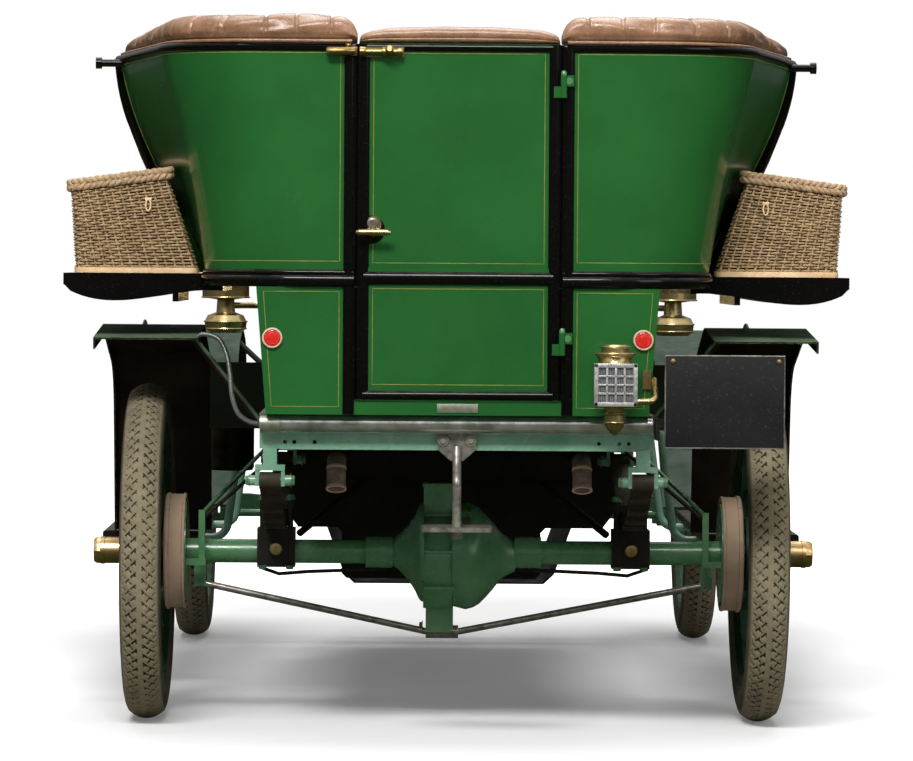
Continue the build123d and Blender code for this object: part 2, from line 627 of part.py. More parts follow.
def tonneau_side():
    """The right-hand corner of the tulip-shaped tonneau, with its hood stud."""
    wall = loft([strip(z, half, corner, front, 0, PANEL) for z, half, corner, front in TONNEAU])
    stud_y = 60
    stud_z = TONNEAU_TOP - 18
    half = TONNEAU[-1][1]
    stud = rod((half - 24, stud_y, stud_z), (half + STUD_REACH, stud_y, stud_z), STUD_RADIUS)
    stud += rod((half + STUD_REACH - 12, stud_y, stud_z), (half + STUD_REACH, stud_y, stud_z),
                STUD_RADIUS + 5)
    return wall + stud + door_stop(WAIST, TONNEAU_TOP)


def seat_backs():
    """The padded linings inside both tonneau corners, as plain solids."""
    pad = loft([strip(z, half, corner, front, PANEL + 2 * SEAT, 60) for z, half, corner, front in TONNEAU])
    return both(pad & block(POST_X + 6, 900, REAR_FACE, 400, WAIST + 112, TONNEAU_TOP))


def tonneau_trim():
    """The stuffed leather rolls on top of both tonneau corners."""
    z, half, corner, front = TONNEAU[-1]
    inset = 20 + ROLL_HALF_WIDTH - 14
    path = FilletPolyline((POST_X + 2, REAR_FACE + inset - 20), (corner - inset, REAR_FACE + inset - 20),
                          (half - inset, front),
                          radius=TONNEAU_CORNER - 40)
    section = Plane(origin=path @ 0, x_dir=(0, 1, 0), z_dir=path % 0)
    profile = section * Pos(0, ROLL_HEIGHT / 2) * RectangleRounded(2 * ROLL_HALF_WIDTH, ROLL_HEIGHT,
                                                                   ROLL_HEIGHT / 2 - 2)
    return both(Pos(0, 0, z + SEAT) * sweep(profile, path=path))


def rear_seats():
    """Seat boards and the riser below each, either side of the entrance."""
    board_top = WAIST + 5
    board = block(POST_X + 10, BODY_HALF_TOP - 40 - SEAT, REAR_FACE + PANEL + 20, 60,
                  board_top - SEAT_BOARD, board_top)
    board = fillet(board.edges().filter_by(Axis.Z).group_by(Axis.X)[0], 8)
    riser = block(POST_X + 14, POST_X + 30, REAR_FACE + PANEL + SEAT, 40, FLOOR_TOP, board_top - SEAT_BOARD)
    return both(board + riser)


def rear_cushions():
    """The two rear seat cushions as plain solids."""
    cushion = block(POST_X + 4, BODY_HALF_TOP + 20, REAR_FACE + PANEL + 75, 70, WAIST + 5 + SEAT, WAIST + 105)
    return both(fillet(cushion.edges().filter_by(Axis.Z), 25))


def body_tub():
    """The narrow lower body: floor, tapered sides, rear panels, sill and front seat box."""
    top = SHELF_TOP - WAIST_RAIL
    side_front = 820
    taper = ((BODY_HALF_BOTTOM - 22, BODY_BOTTOM), (BODY_HALF_BOTTOM, BODY_BOTTOM), (BODY_HALF_TOP, top),
             (BODY_HALF_TOP - 22, top))
    side = slab_xz(taper, REAR_FACE, side_front)
    rear_half = slab_xz(((POST_X, BODY_BOTTOM), (BODY_HALF_BOTTOM, BODY_BOTTOM), (BODY_HALF_TOP, top),
                         (POST_X, top)),
                        REAR_FACE, REAR_FACE + PANEL)
    cross = slab_xz(((0, BODY_BOTTOM), (BODY_HALF_BOTTOM - 10, BODY_BOTTOM), (BODY_HALF_TOP - 10, top),
                     (0, top)), 330, 350)
    apron = slab_xz(((0, BODY_BOTTOM), (BODY_HALF_BOTTOM - 10, BODY_BOTTOM), (BODY_HALF_TOP - 10, top),
                     (0, top)), 800, 820)
    seat_board = block(0, BODY_HALF_TOP, 330, side_front, top - 1, top + SEAT_BOARD)
    right = side + rear_half + cross + apron + seat_board + door_stop(DOOR_BOTTOM, top)
    toe_side = slab_xz(((BODY_HALF_BOTTOM - 22, BODY_BOTTOM), (BODY_HALF_BOTTOM, BODY_BOTTOM),
                        (BODY_HALF_BOTTOM + 4, FLOOR_TOP + 40),
                        (BODY_HALF_BOTTOM - 18, FLOOR_TOP + 40)), side_front - 1, DASH_Y)
    floor_board = block(0, BODY_HALF_BOTTOM - 10, REAR_FACE + 4, DASH_Y, BODY_BOTTOM, FLOOR_TOP)
    sill = block(0, POST_X + 2, REAR_FACE, REAR_FACE + PANEL, BODY_BOTTOM, DOOR_BOTTOM - 4)
    toe_board = slab_yz(((DASH_Y - 200, FLOOR_TOP - 1), (DASH_Y - 180, FLOOR_TOP - 1),
                         (DASH_Y, FLOOR_TOP + 160), (DASH_Y, FLOOR_TOP + 185)),
                        0, BODY_HALF_BOTTOM - 30)
    body = both(right + toe_side + floor_board + sill + toe_board)
    column_hole = rod(COLUMN_FOOT, COLUMN_TOP, COLUMN_RADIUS + 4)
    return body - column_hole


def side_shelves():
    """The black waist rail round the rear corner and the shelf that carries a basket."""
    z, half, corner, front = TONNEAU[0]
    proud = 6
    rear = REAR_FACE - proud
    rail_z = SHELF_TOP - WAIST_RAIL
    outer = FilletPolyline((POST_X, rear), (corner + proud, rear), (half + proud, front),
                           radius=TONNEAU_CORNER + proud)
    inner = Polyline((half + proud, front), (BODY_HALF_TOP - 40, front),
                     (BODY_HALF_TOP - 40, REAR_FACE + PANEL), (POST_X, REAR_FACE + PANEL),
                     (POST_X, rear))
    rail = extrude(Plane((0, 0, rail_z)) * make_face(outer + inner), amount=WAIST_RAIL)
    tray_front = BASKET_REAR + BASKET_LENGTH + 10
    tray = block(half - 60, SHELF_OUTER, BASKET_REAR - 6, tray_front, rail_z, SHELF_TOP)
    base = Polyline((SHELF_OUTER, rail_z + 2), (half - 60, rail_z + 2), (half - 60, rail_z - 12))
    belly = Spline((half - 60, rail_z - 12), (SHELF_OUTER - 220, rail_z - 22),
                   (SHELF_OUTER - 94, rail_z - SHELF_SAG),
                   (SHELF_OUTER - 16, rail_z - 14))
    close = Line((SHELF_OUTER - 16, rail_z - 14), (SHELF_OUTER, rail_z + 2))
    under = extrude(Plane((0, tray_front, 0), x_dir=(1, 0, 0), z_dir=(0, -1, 0)) * make_face(base + belly
                                                                                             + close),
                    amount=BASKET_LENGTH + 16)
    batten = block(half + 38, half + 51, BASKET_REAR + 4, tray_front - 30, rail_z - SHELF_SAG - 2, rail_z)
    return both(rail + tray + under + batten)


def basket_section(y, inner_base, inner_top, inset, base, rise):
    """A basket's cross-section at one y, with a sloping inner side and a top that falls outwards."""
    face = make_face(Polyline((inner_base + inset, base), (BASKET_OUTER - BASKET_TAPER - inset, base),
                              (BASKET_OUTER - 8 - inset, BASKET_OUTER_TOP + rise),
                              (inner_top + inset, BASKET_INNER_TOP + rise), close=True))
    return Plane((0, y, 0), x_dir=(1, 0, 0), z_dir=(0, -1, 0)) * face


def basket():
    """The right wicker basket: an open tapered box whose inner side follows the body."""
    front = BASKET_REAR + BASKET_LENGTH
    wall = BASKET_WALL
    base = SHELF_TOP + SEAT
    (rear_base, rear_top, _), (front_base, front_top, _) = BASKET_INNER
    outer = loft([basket_section(BASKET_REAR, rear_base, rear_top, 0, base, 0),
                  basket_section(front, front_base, front_top, 0, base, 0)], ruled=True)
    room = loft([basket_section(BASKET_REAR + wall, rear_base, rear_top, wall, base + wall, 30),
                 basket_section(front - wall, front_base, front_top, wall, base + wall, 30)], ruled=True)
    return outer - room


def lid():
    """The right basket's lid, hinged along its inner edge beside the body."""
    front = BASKET_REAR + BASKET_LENGTH
    inner_low = BASKET_INNER_TOP + 2.8
    outer_low = BASKET_OUTER_TOP - 0.5
    sections = []
    for y, (_, _, inner) in ((BASKET_REAR - LID_LAP, BASKET_INNER[0]), (front + LID_LAP, BASKET_INNER[1])):
        face = make_face(Polyline((inner, inner_low), (BASKET_OUTER, outer_low),
                                  (BASKET_OUTER, outer_low + LID_THICK),
                                  (inner, inner_low + LID_THICK - 1), close=True))
        sections.append(Plane((0, y, 0), x_dir=(1, 0, 0), z_dir=(0, -1, 0)) * face)
    return loft(sections, ruled=True)


def door():
    """The rear door with raised beads round its upper and lower panels and hinge leaves."""
    top = TONNEAU_TOP
    slab = block(-DOOR_HALF, DOOR_HALF, REAR_FACE, REAR_FACE + PANEL, DOOR_BOTTOM, top)
    face = REAR_FACE - BEAD_PROUD
    slab += block(-DOOR_HALF, DOOR_HALF, face, REAR_FACE + 1, DOOR_BOTTOM, DOOR_BOTTOM + BEAD_WIDTH + 8)
    slab += block(-DOOR_HALF, DOOR_HALF, face, REAR_FACE + 1, WAIST - 14, WAIST + BEAD_WIDTH + 4)
    slab += block(-DOOR_HALF, DOOR_HALF, face, REAR_FACE + 1, top - 9, top)
    for side in (-1, 1):
        slab += block(side * (DOOR_HALF - BEAD_WIDTH), side * DOOR_HALF, face, REAR_FACE + 1, DOOR_BOTTOM,
                      top)
    for z in HINGE_HEIGHTS:
        slab += rod((POST_X, HINGE_Y, z - HINGE_LEAF), (POST_X, HINGE_Y, z), HINGE_PIN + 2)
        slab += block(DOOR_HALF - 14, POST_X - 2, HINGE_Y - 2, REAR_FACE + 1, z - HINGE_LEAF, z)
    return slab


def hinge_posts():
    """The fixed halves of the door hinges on the right-hand post."""
    posts = None
    for z in HINGE_HEIGHTS:
        barrel = rod((POST_X, HINGE_Y, z + SEAT), (POST_X, HINGE_Y, z + HINGE_LEAF), HINGE_PIN + 2)
        plate = block(POST_X + 2, POST_X + 22, HINGE_Y - 2, REAR_FACE - SEAT, z + SEAT, z + HINGE_LEAF)
        piece = barrel + plate
        posts = piece if posts is None else posts + piece
    return posts


def door_trim():
    """The flat leather roll on top of the door, set in at both ends so that it swings clear."""
    half = DOOR_HALF - DOOR_ROLL_INSET
    roll = block(-half, half, REAR_FACE - 12, REAR_FACE + 62, TONNEAU_TOP + SEAT,
                 TONNEAU_TOP + SEAT + DOOR_ROLL_HEIGHT)
    roll = fillet(roll.edges().filter_by(Axis.X), 12)
    pad = block(-half + 8, half - 8, REAR_FACE + PANEL + SEAT, REAR_FACE + 60, WAIST + 100, TONNEAU_TOP - 4)
    return roll + pad


def door_brass():
    """The door's barrel bolt and its T-handle on a round plate."""
    face = REAR_FACE - BEAD_PROUD - SEAT
    bolt_z = TONNEAU_TOP - 19
    plate = block(-DOOR_HALF + 1, -119, face - 4, face, bolt_z - 11, bolt_z + 11)
    barrel = rod((-DOOR_HALF + 2, face - 9, bolt_z), (-132, face - 9, bolt_z), 7)
    knob = turned(((0, 0), (0, 4), (12, 4), (16, 9), (24, 9), (27, 5), (27, 0)), (-150, face - 9, bolt_z),
                  (0, -1, 0.2))
    back = REAR_FACE - SEAT
    escutcheon = rod((HANDLE_X, back, HANDLE_Z + 18), (HANDLE_X, back - 5, HANDLE_Z + 18), 17)
    stem = turned(((0, 0), (0, 12), (8, 10), (14, 6), (36, 6), (36, 0)), (HANDLE_X, back, HANDLE_Z),
                  (0, -1, 0))
    bar = turned(((-37, 0), (-37, 4), (-30, 7), (30, 7), (37, 4), (37, 0)), (HANDLE_X, back - 36, HANDLE_Z),
                 (1, 0, 0))
    return plate + barrel + knob + escutcheon + stem + bar


def front_seat():
    """The front seat's shell: a low box whose back and sides flare upwards."""
    def ring(z, half, back, front):
        outer = FilletPolyline((half, front), (half, back), (-half, back), (-half, front), radius=110)
        inner = FilletPolyline((half - PANEL, front), (half - PANEL, back + PANEL),
                               (-half + PANEL, back + PANEL),
                               (-half + PANEL, front), radius=110 - PANEL)
        ends = Line((half, front), (half - PANEL, front)) + Line((-half, front), (-half + PANEL, front))
        return Plane((0, 0, z)) * make_face(outer + inner + ends)
    base = SHELF_TOP - WAIST_RAIL + SEAT_BOARD
    return loft([ring(base + SEAT, 440, 345, 800), ring(1180, 505, 322, 770), ring(1400, 545, 305, 640)])


def front_trim():
    """Front seat cushion and padded back as plain solids."""
    base = SHELF_TOP - WAIST_RAIL + SEAT_BOARD + SEAT
    cushion = block(-405, 405, 425, 830, base, base + 120)
    back = slab_yz(((372, base + 120 + SEAT), (438, base + 120 + SEAT), (415, 1440), (340, 1440)), -400, 400)
    return cushion + back


def dash():
    """The wooden dashboard with an arched top."""
    arch = Polyline((-432, 1040), (-432, BODY_BOTTOM), (432, BODY_BOTTOM), (432, 1040))
    top = ThreePointArc((432, 1040), (0, 1150), (-432, 1040))
    board = extrude(Plane((0, DASH_Y + DASH_THICK, 0), x_dir=(1, 0, 0),
                          z_dir=(0, -1, 0)) * make_face(arch + top),
                    amount=DASH_THICK - SEAT)
    column_hole = rod(COLUMN_FOOT, COLUMN_TOP, COLUMN_RADIUS + 4)
    return board - column_hole


def bonnet():
    """The right half of the bonnet, hinged beside the fixed strip along its top."""
    start = BONNET_HINGE_X + HINGE_PIN + 4
    thick = BONNET_SHEET
    foot = RAIL_TOP + 8
    outer = FilletPolyline((start, BONNET_TOP), (220, BONNET_TOP - 34), (BONNET_HALF, BONNET_TOP - 110),
                           (BONNET_HALF, foot), radius=50)
    inner = FilletPolyline((start, BONNET_TOP - thick), (219, BONNET_TOP - 34 - thick),
                           (BONNET_HALF - thick, BONNET_TOP - 112), (BONNET_HALF - thick, foot),
                           radius=50 - thick)
    ends = Line((start, BONNET_TOP), (start, BONNET_TOP - thick)) + Line((BONNET_HALF, foot),
                                                                         (BONNET_HALF - thick, foot))
    face = Plane((0, RADIATOR_Y - RUN, 0), x_dir=(1, 0, 0), z_dir=(0, -1, 0)) * make_face(outer + inner
                                                                                          + ends)
    half = extrude(face, amount=RADIATOR_Y - DASH_Y - DASH_THICK - 2 * RUN)
    rod_z = BONNET_TOP - 3
    middle = (DASH_Y + DASH_THICK + RADIATOR_Y) / 2
    for y in (middle - 320, middle, middle + 320):
        half += rod((BONNET_HINGE_X, y - 35, rod_z), (BONNET_HINGE_X, y + 35, rod_z), HINGE_PIN + 4)
        half += block(BONNET_HINGE_X + 4, start + 6, y - 35, y + 35, BONNET_TOP - thick, BONNET_TOP)
    return half - rod((BONNET_HINGE_X, DASH_Y, rod_z), (BONNET_HINGE_X, RADIATOR_Y, rod_z), HINGE_PIN + SEAT)


def radiator():
    """The brass radiator shell with its filler and gills, the bonnet's middle strip and hinge rods."""
    half = BONNET_HALF - 10
    base = Polyline((-half, 1000), (-half, RAIL_BOTTOM - 40), (half, RAIL_BOTTOM - 40), (half, 1000))
    top = ThreePointArc((half, 1000), (0, BONNET_TOP + 30), (-half, 1000))
    plane = Plane((0, RADIATOR_Y + RADIATOR_DEPTH, 0), x_dir=(1, 0, 0), z_dir=(0, -1, 0))
    shell = extrude(plane * make_face(base + top), amount=RADIATOR_DEPTH)
    shell -= block(-half + 45, half - 45, RADIATOR_Y + RADIATOR_DEPTH - 22, RADIATOR_Y + RADIATOR_DEPTH + 1,
                   RAIL_BOTTOM + 10, 985)
    gills = 16
    for row in range(gills):
        z = RAIL_BOTTOM + 25 + row * (950 - RAIL_BOTTOM) / (gills - 1)
        shell += block(-half + 44, half - 44, RADIATOR_Y + RADIATOR_DEPTH - 23,
                       RADIATOR_Y + RADIATOR_DEPTH - 6, z - 3, z + 3)
    filler = turned(((0, 0), (0, 26), (30, 24), (30, 32), (44, 32), (50, 10), (50, 0)),
                    (0, RADIATOR_Y + 55, BONNET_TOP + 20), (0, 0, 1))
    back = DASH_Y + DASH_THICK + SEAT
    hinge = both(rod((BONNET_HINGE_X, back, BONNET_TOP - 3),
                     (BONNET_HINGE_X, RADIATOR_Y + 2, BONNET_TOP - 3), HINGE_PIN))
    hinge += block(-BONNET_STRIP, BONNET_STRIP, back, RADIATOR_Y + 2, BONNET_TOP - BONNET_SHEET, BONNET_TOP)
    feet = both(block(half - 4, RAIL_OUTER - 15, RADIATOR_Y + 30, RADIATOR_Y + 80, RAIL_TOP + SEAT,
                      RAIL_TOP + 12))
    return shell + filler + hinge + feet


def headlamps():
    """Two brass acetylene headlamps on forked stands ahead of the radiator."""
    x, z, y = HEADLAMP_X, HEADLAMP_Z, RADIATOR_Y + 150
    body = turned(((-70, 0), (-70, 40), (-55, 78), (40, 92), (70, 100), (82, 104), (82, 96), (60, 88),
                   (60, 0)), (x, y, z), (0, 1, 0))
    body += turned(((80, 0), (80, 40), (120, 34), (130, 46), (138, 46), (138, 0)), (x, y - 10, z), (0, 0, 1))
    body += rod((x, y, RAIL_TOP + SEAT), (x, y, z - 78), 11)
    body += block(x - 22, x + 22, y - 22, y + 22, RAIL_TOP + SEAT, RAIL_TOP + 12)
    return both(body)


def side_lamps():
    """Two brass oil lamps on brackets from the dash, with bulbous founts below."""
    x, y = SIDE_LAMP_X, DASH_Y - 70
    lamp = turned(((855, 0), (855, 40), (866, 52), (884, 54), (900, 46), (908, 24), (940, 22), (946, 60),
                   (1130, 60),
                   (1150, 40), (1158, 40), (1170, 24), (1190, 24), (1196, 34), (1202, 34), (1202, 0)),
                   (x, y, 0), (0, 0, 1))
    lamp += bent_bar(((432 + SEAT, DASH_Y + 12, 925), (500, DASH_Y + 12, 925), (x - 5, y, 925)), 8, [30])
    lamp += turned(((0, 0), (0, 46), (16, 52), (16, 44), (8, 0)), (x, y + 58, 1040), (0, 1, 0))
    return both(lamp)


def tail_lamp():
    """The brass tail lamp: a square box with a ribbed chimney above and an oil fount below."""
    x, y = TAIL_LAMP_X, REAR_FACE - TAIL_LAMP_BACK
    half, low, top = TAIL_LAMP_HALF, TAIL_LAMP_LOW, TAIL_LAMP_TOP
    box = block(x - half, x + half, y - 34, y + 40, low, top)
    stack = turned(((0, 0), (0, 34), (14, 38), (17, 42), (22, 42), (24, 30), (32, 30), (36, 32), (40, 28),
                    (40, 0)),
                   (x, y + 4, top), (0, 0, 1))
    fount = turned(((0, 0), (0, 20), (17, 19), (21, 23), (37, 23), (51, 16), (61, 6), (65, 0)),
                   (x, y + 4, low), (0, 0, -1))
    arm = bent_bar(((x + half - 2, y + 20, low + 8), (x + half + 42, y + 20, low + 8),
                    (x + half + 42, REAR_FACE - 4, low + 53)),
                   7, [16])
    foot = block(x + half + 18, x + half + 36, REAR_FACE - 8, REAR_FACE - SEAT, low + 33, low + 73)
    return box + stack + fount + arm + foot


def number_plate():
    """A plain black plate on two arms from the frame's corner."""
    left, right, low, high = PLATE_LEFT, PLATE_RIGHT, PLATE_LOW, PLATE_TOP
    y = REAR_FACE - 10
    plate = block(left, right, y - 4, y, low, high)
    bar = block(left - 4, right - 20, y, y + 5, 690, 712)
    upright = block(left + 10, left + 34, y, y + 5, low + 10, high - 10)
    arm = block(RAIL_OUTER + SEAT, left + 34, y, y + 24, 690, 706)
    arm += block(RAIL_OUTER + SEAT, RAIL_OUTER + 8, y + 4, RAIL_REAR + 60, 660, 706)
    return plate + bar + upright + arm


def gas_generator():
    """The acetylene generator drum on its bracket from the left rail."""
    x, y, z = -526, 550, 607
    drum = turned(((z - 68, 0), (z - 68, 50), (z - 60, 54), (z + 58, 54), (z + 68, 46), (z + 68, 0)),
                  (x, y, 0), (0, 0, 1))
    drum += turned(((z + 66, 0), (z + 66, 20), (z + 84, 18), (z + 84, 0)), (x, y, 0), (0, 0, 1))
    bracket = block(x + 30, -RAIL_OUTER - SEAT, y - 14, y + 14, RAIL_BOTTOM + 20, RAIL_BOTTOM + 30)
    bracket += block(-RAIL_OUTER - SEAT - 8, -RAIL_OUTER - SEAT, y - 14, y + 14, RAIL_BOTTOM + 4,
                     RAIL_TOP - 6)
    return drum + bracket


def conduit():
    """The tail lamp's tube in a flexible sleeve, clipped from the left guard to the frame's corner."""
    points = ((-562, -250, 862), (-505, -262, 842), (-486, -300, 775), (-476, -360, 702), (-450, -430, 672),
              (-RAIL_OUTER - 5 - SEAT, -470, 672))
    return bent_bar(points, 5, [24, 32, 34, 26])


def guard(points, radii, inner, outer, lip):
    """A sheet bent over a wheel along straight runs and arcs, with an edge turned down."""
    plane = Plane((inner, 0, 0), x_dir=(0, 1, 0), z_dir=(1, 0, 0))
    line = FilletPolyline(*points, radius=radii)
    under = offset(line, amount=GUARD_SHEET, side=Side.RIGHT, closed=True)
    sheet = extrude(plane * make_face(under), amount=outer - inner)
    deeper = offset(line, amount=lip, side=Side.RIGHT, closed=True)
    edge = extrude(Plane((outer - GUARD_SHEET, 0, 0), x_dir=(0, 1, 0), z_dir=(1, 0, 0)) * make_face(deeper),
                   amount=GUARD_SHEET)
    return sheet + edge


def rear_mudguards():
    """The rear guards with their inner panels and stays."""
    points = ((-304, 868), (60, 896), (420, 800), (470, 560), (500, BOARD_TOP + 4))
    sheet = guard(points, [260, 180, 200], REAR_GUARD_INNER, REAR_GUARD_OUTER, 26)
    panel = block(RAIL_OUTER + 12, REAR_GUARD_INNER + 2, 400, 404, RAIL_BOTTOM + 10, 800)
    stay = rod((RAIL_OUTER + 8, -180, RAIL_BOTTOM + 40), (REAR_GUARD_INNER + 20, -180, 872), 8)
    foot = block(RAIL_OUTER + SEAT, RAIL_OUTER + 12, 380, 424, RAIL_BOTTOM + 12, RAIL_TOP - 8)
    return both(sheet + panel + stay + foot)


def front_mudguards():
    """The front guards: an arch over the wheel that sweeps back down to the running board."""
    y = FRONT_AXLE_Y
    points = ((y + 430, 640), (y + 330, 800), (y + 60, 856), (y - 260, 800), (y - 470, 560),
              (y - 730, BOARD_TOP + 4))
    sheet = guard(points, [150, 300, 300, 300], FRONT_GUARD_INNER, FRONT_GUARD_OUTER, 24)
    stays = rod((RAIL_OUTER + 9, y - 130, RAIL_TOP - 20), (FRONT_GUARD_INNER + 12, y - 130, 822), 8)
    stays += block(RAIL_OUTER + SEAT, RAIL_OUTER + 10, y - 150, y - 110, RAIL_BOTTOM + 6, RAIL_TOP - 4)
    return both(sheet + stays)


def running_boards():
    """A board along each side between the guards."""
    board = block(600, 830, 505, FRONT_AXLE_Y - 735, BOARD_TOP - BOARD_THICK, BOARD_TOP)
    return both(fillet(board.edges().filter_by(Axis.Y), 6))


def starting_handle():
    """The crank that hangs below the radiator."""
    y = RADIATOR_Y + RADIATOR_DEPTH
    crank = bent_bar(((0, y - 160, 560), (0, y + 90, 560), (0, y + 90, 420), (0, y + 190, 420)), 9, [20, 20])
    grip = rod((0, y + 100, 420), (0, y + 200, 420), 15)
    bearing = rod((0, y - 60, 560), (0, y - 20, 560), 22) + block(-14, 14, y - 52, y - 28, 560,
                                                                  RAIL_BOTTOM - 40 - SEAT)
    return crank + grip + bearing


os.makedirs("parts", exist_ok=True)

NODES = {
    "frame": frame,
    "rear_tube": rear_tube,
    "rear_step": rear_step,
    "springs": springs,
    "rear_axle": rear_axle,
    "axle_clamps": axle_clamps,
    "brake_gear": brake_gear,
    "exhaust": exhaust,
    "engine": engine,
    "undertray": undertray,
    "front_axle": front_axle,
    "body_tub": body_tub,
    "seat_backs": seat_backs,
    "tonneau_trim": tonneau_trim,
    "rear_seats": rear_seats,
    "rear_cushions": rear_cushions,
    "side_shelves": side_shelves,
    "front_seat": front_seat,
    "front_trim": front_trim,
    "dash": dash,
    "steering_column": steering_column,
    "hand_levers": hand_levers,
    "radiator": radiator,
    "starting_handle": starting_handle,
    "headlamps": headlamps,
    "side_lamps": side_lamps,
    "tail_lamp": tail_lamp,
    "number_plate": number_plate,
    "gas_generator": gas_generator,
    "conduit": conduit,
    "rear_mudguards": rear_mudguards,
    "front_mudguards": front_mudguards,
    "running_boards": running_boards,
    "door": door,
    "door_trim": door_trim,
    "door_brass": door_brass,
    "hinge_posts": hinge_posts,
    "steering_wheel": steering_wheel,
    "track_rod": track_rod,
    "drop_arm": drop_arm,
    "drag_link": drag_link,
}
for node, make in NODES.items():
    save(node, make())

for node, make in (("tonneau", tonneau_side), ("basket", basket), ("lid", lid), ("bonnet", bonnet)):
    right = make()
    save(f"{node}_right", right)
    save(f"{node}_left", mirrored(right))

save("knuckle_right", knuckle(drive=True))
save("knuckle_left", mirrored(knuckle(drive=False)))

for place, y, drum in (("rear", 0, True), ("front", FRONT_AXLE_Y, False)):
    right = Pos(WHEEL_X, y, TYRE_RADIUS) * wheel(drum)
    rubber = Pos(WHEEL_X, y, TYRE_RADIUS) * tyre()
    save(f"wheel_{place}_right", right)
    save(f"wheel_{place}_left", mirrored(right))
    save(f"tyre_{place}_right", rubber)
    save(f"tyre_{place}_left", mirrored(rubber))
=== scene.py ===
"""Looks for a rear-entrance tonneau car of about 1904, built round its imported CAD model.

Metres, in the row frame: +Y is the car's front, +X its right-hand side and +Z up. The
camera stands behind the car, where the photograph was taken.
"""
import json
from math import atan2, cos, exp, pi, radians, sin, sqrt, tan
import random

import bmesh
import bpy
from mathutils import Matrix, Vector
from mathutils.bvhtree import BVHTree
import numpy as np


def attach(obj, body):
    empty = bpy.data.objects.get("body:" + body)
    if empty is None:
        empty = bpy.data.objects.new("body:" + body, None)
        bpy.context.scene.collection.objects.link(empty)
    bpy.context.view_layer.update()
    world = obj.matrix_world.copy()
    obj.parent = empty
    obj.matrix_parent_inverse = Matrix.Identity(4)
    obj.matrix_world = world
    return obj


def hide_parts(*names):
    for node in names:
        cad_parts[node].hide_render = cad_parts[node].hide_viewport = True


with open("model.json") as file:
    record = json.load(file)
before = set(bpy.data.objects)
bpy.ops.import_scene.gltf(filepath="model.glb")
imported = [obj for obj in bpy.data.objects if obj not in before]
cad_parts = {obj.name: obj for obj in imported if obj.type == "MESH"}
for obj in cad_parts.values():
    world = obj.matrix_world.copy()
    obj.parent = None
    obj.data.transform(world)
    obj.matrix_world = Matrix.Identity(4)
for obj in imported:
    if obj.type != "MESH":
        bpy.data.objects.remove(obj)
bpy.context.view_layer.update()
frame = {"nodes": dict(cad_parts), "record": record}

SCENE = bpy.context.scene
NODES = frame["nodes"]
WORDS = {1: "right", -1: "left"}
# Directions in the row frame
RIGHT, LEFT = (1, 0, 0), (-1, 0, 0)
AHEAD, BACK = (0, 1, 0), (0, -1, 0)
UP, DOWN = (0, 0, 1), (0, 0, -1)

# The car's own sizes in metres; y is measured from the rear axle
REAR_AXLE_Y = -1.030
WHEELBASE = 2.300
WHEEL_X = 0.693
AXLE_Z = 0.380
# The body's rear face, and painted lines just proud of it
FACE_Y = -0.600
LINE_Y = FACE_Y - 0.0002
# Where the tonneau corners meet the door, and the height they start from
POST_X = 0.2225
WAIST = 1.010
# Tonneau plan: z, half width at the front edge, x of the rear corner, y of the front edge
TONNEAU = (
    (1.010, 0.575, 0.540, 0.300),
    (1.140, 0.635, 0.546, 0.225),
    (1.260, 0.695, 0.556, 0.165),
    (1.400, 0.752, 0.585, 0.128),
    (1.505, 0.775, 0.610, 0.120),
)
TONNEAU_CORNER = 0.220
# The tyre crown's arc: its radius and how far its middle lies from the wheel's centre
CROWN_RADIUS = 0.0532
CROWN_MIDDLE = 0.3268


def srgb(red, green, blue):
    """A colour as it looks on screen, 0 to 255, as the linear colour that shaders take."""
    def linear(value):
        value /= 255
        return value / 12.92 if value <= 0.04045 else ((value + 0.055) / 1.055) ** 2.4
    return (linear(red), linear(green), linear(blue), 1.0)


# Materials

def feed(tree, socket, value):
    """Links an input to another node's output, or sets its value."""
    if isinstance(value, bpy.types.NodeSocket):
        tree.links.new(value, socket)
    else:
        socket.default_value = value


def add_node(tree, kind, inputs=None, **settings):
    node = tree.nodes.new(kind)
    for key, value in settings.items():
        setattr(node, key, value)
    for key, value in (inputs or {}).items():
        feed(tree, node.inputs[key], value)
    return node


def mapped(tree, value, low, high, start=0.0, end=1.0, **settings):
    """A value stretched from low..high to start..end."""
    inputs = {"Value": value, "From Min": low, "From Max": high, "To Min": start, "To Max": end}
    return add_node(tree, "ShaderNodeMapRange", inputs, **settings).outputs[0]


def combined(tree, operation, first, second):
    return add_node(tree, "ShaderNodeMath", {0: first, 1: second}, operation=operation).outputs[0]


def mixed(tree, share, first, second):
    return add_node(tree, "ShaderNodeMix", {0: share, 6: first, 7: second}, data_type="RGBA").outputs[2]


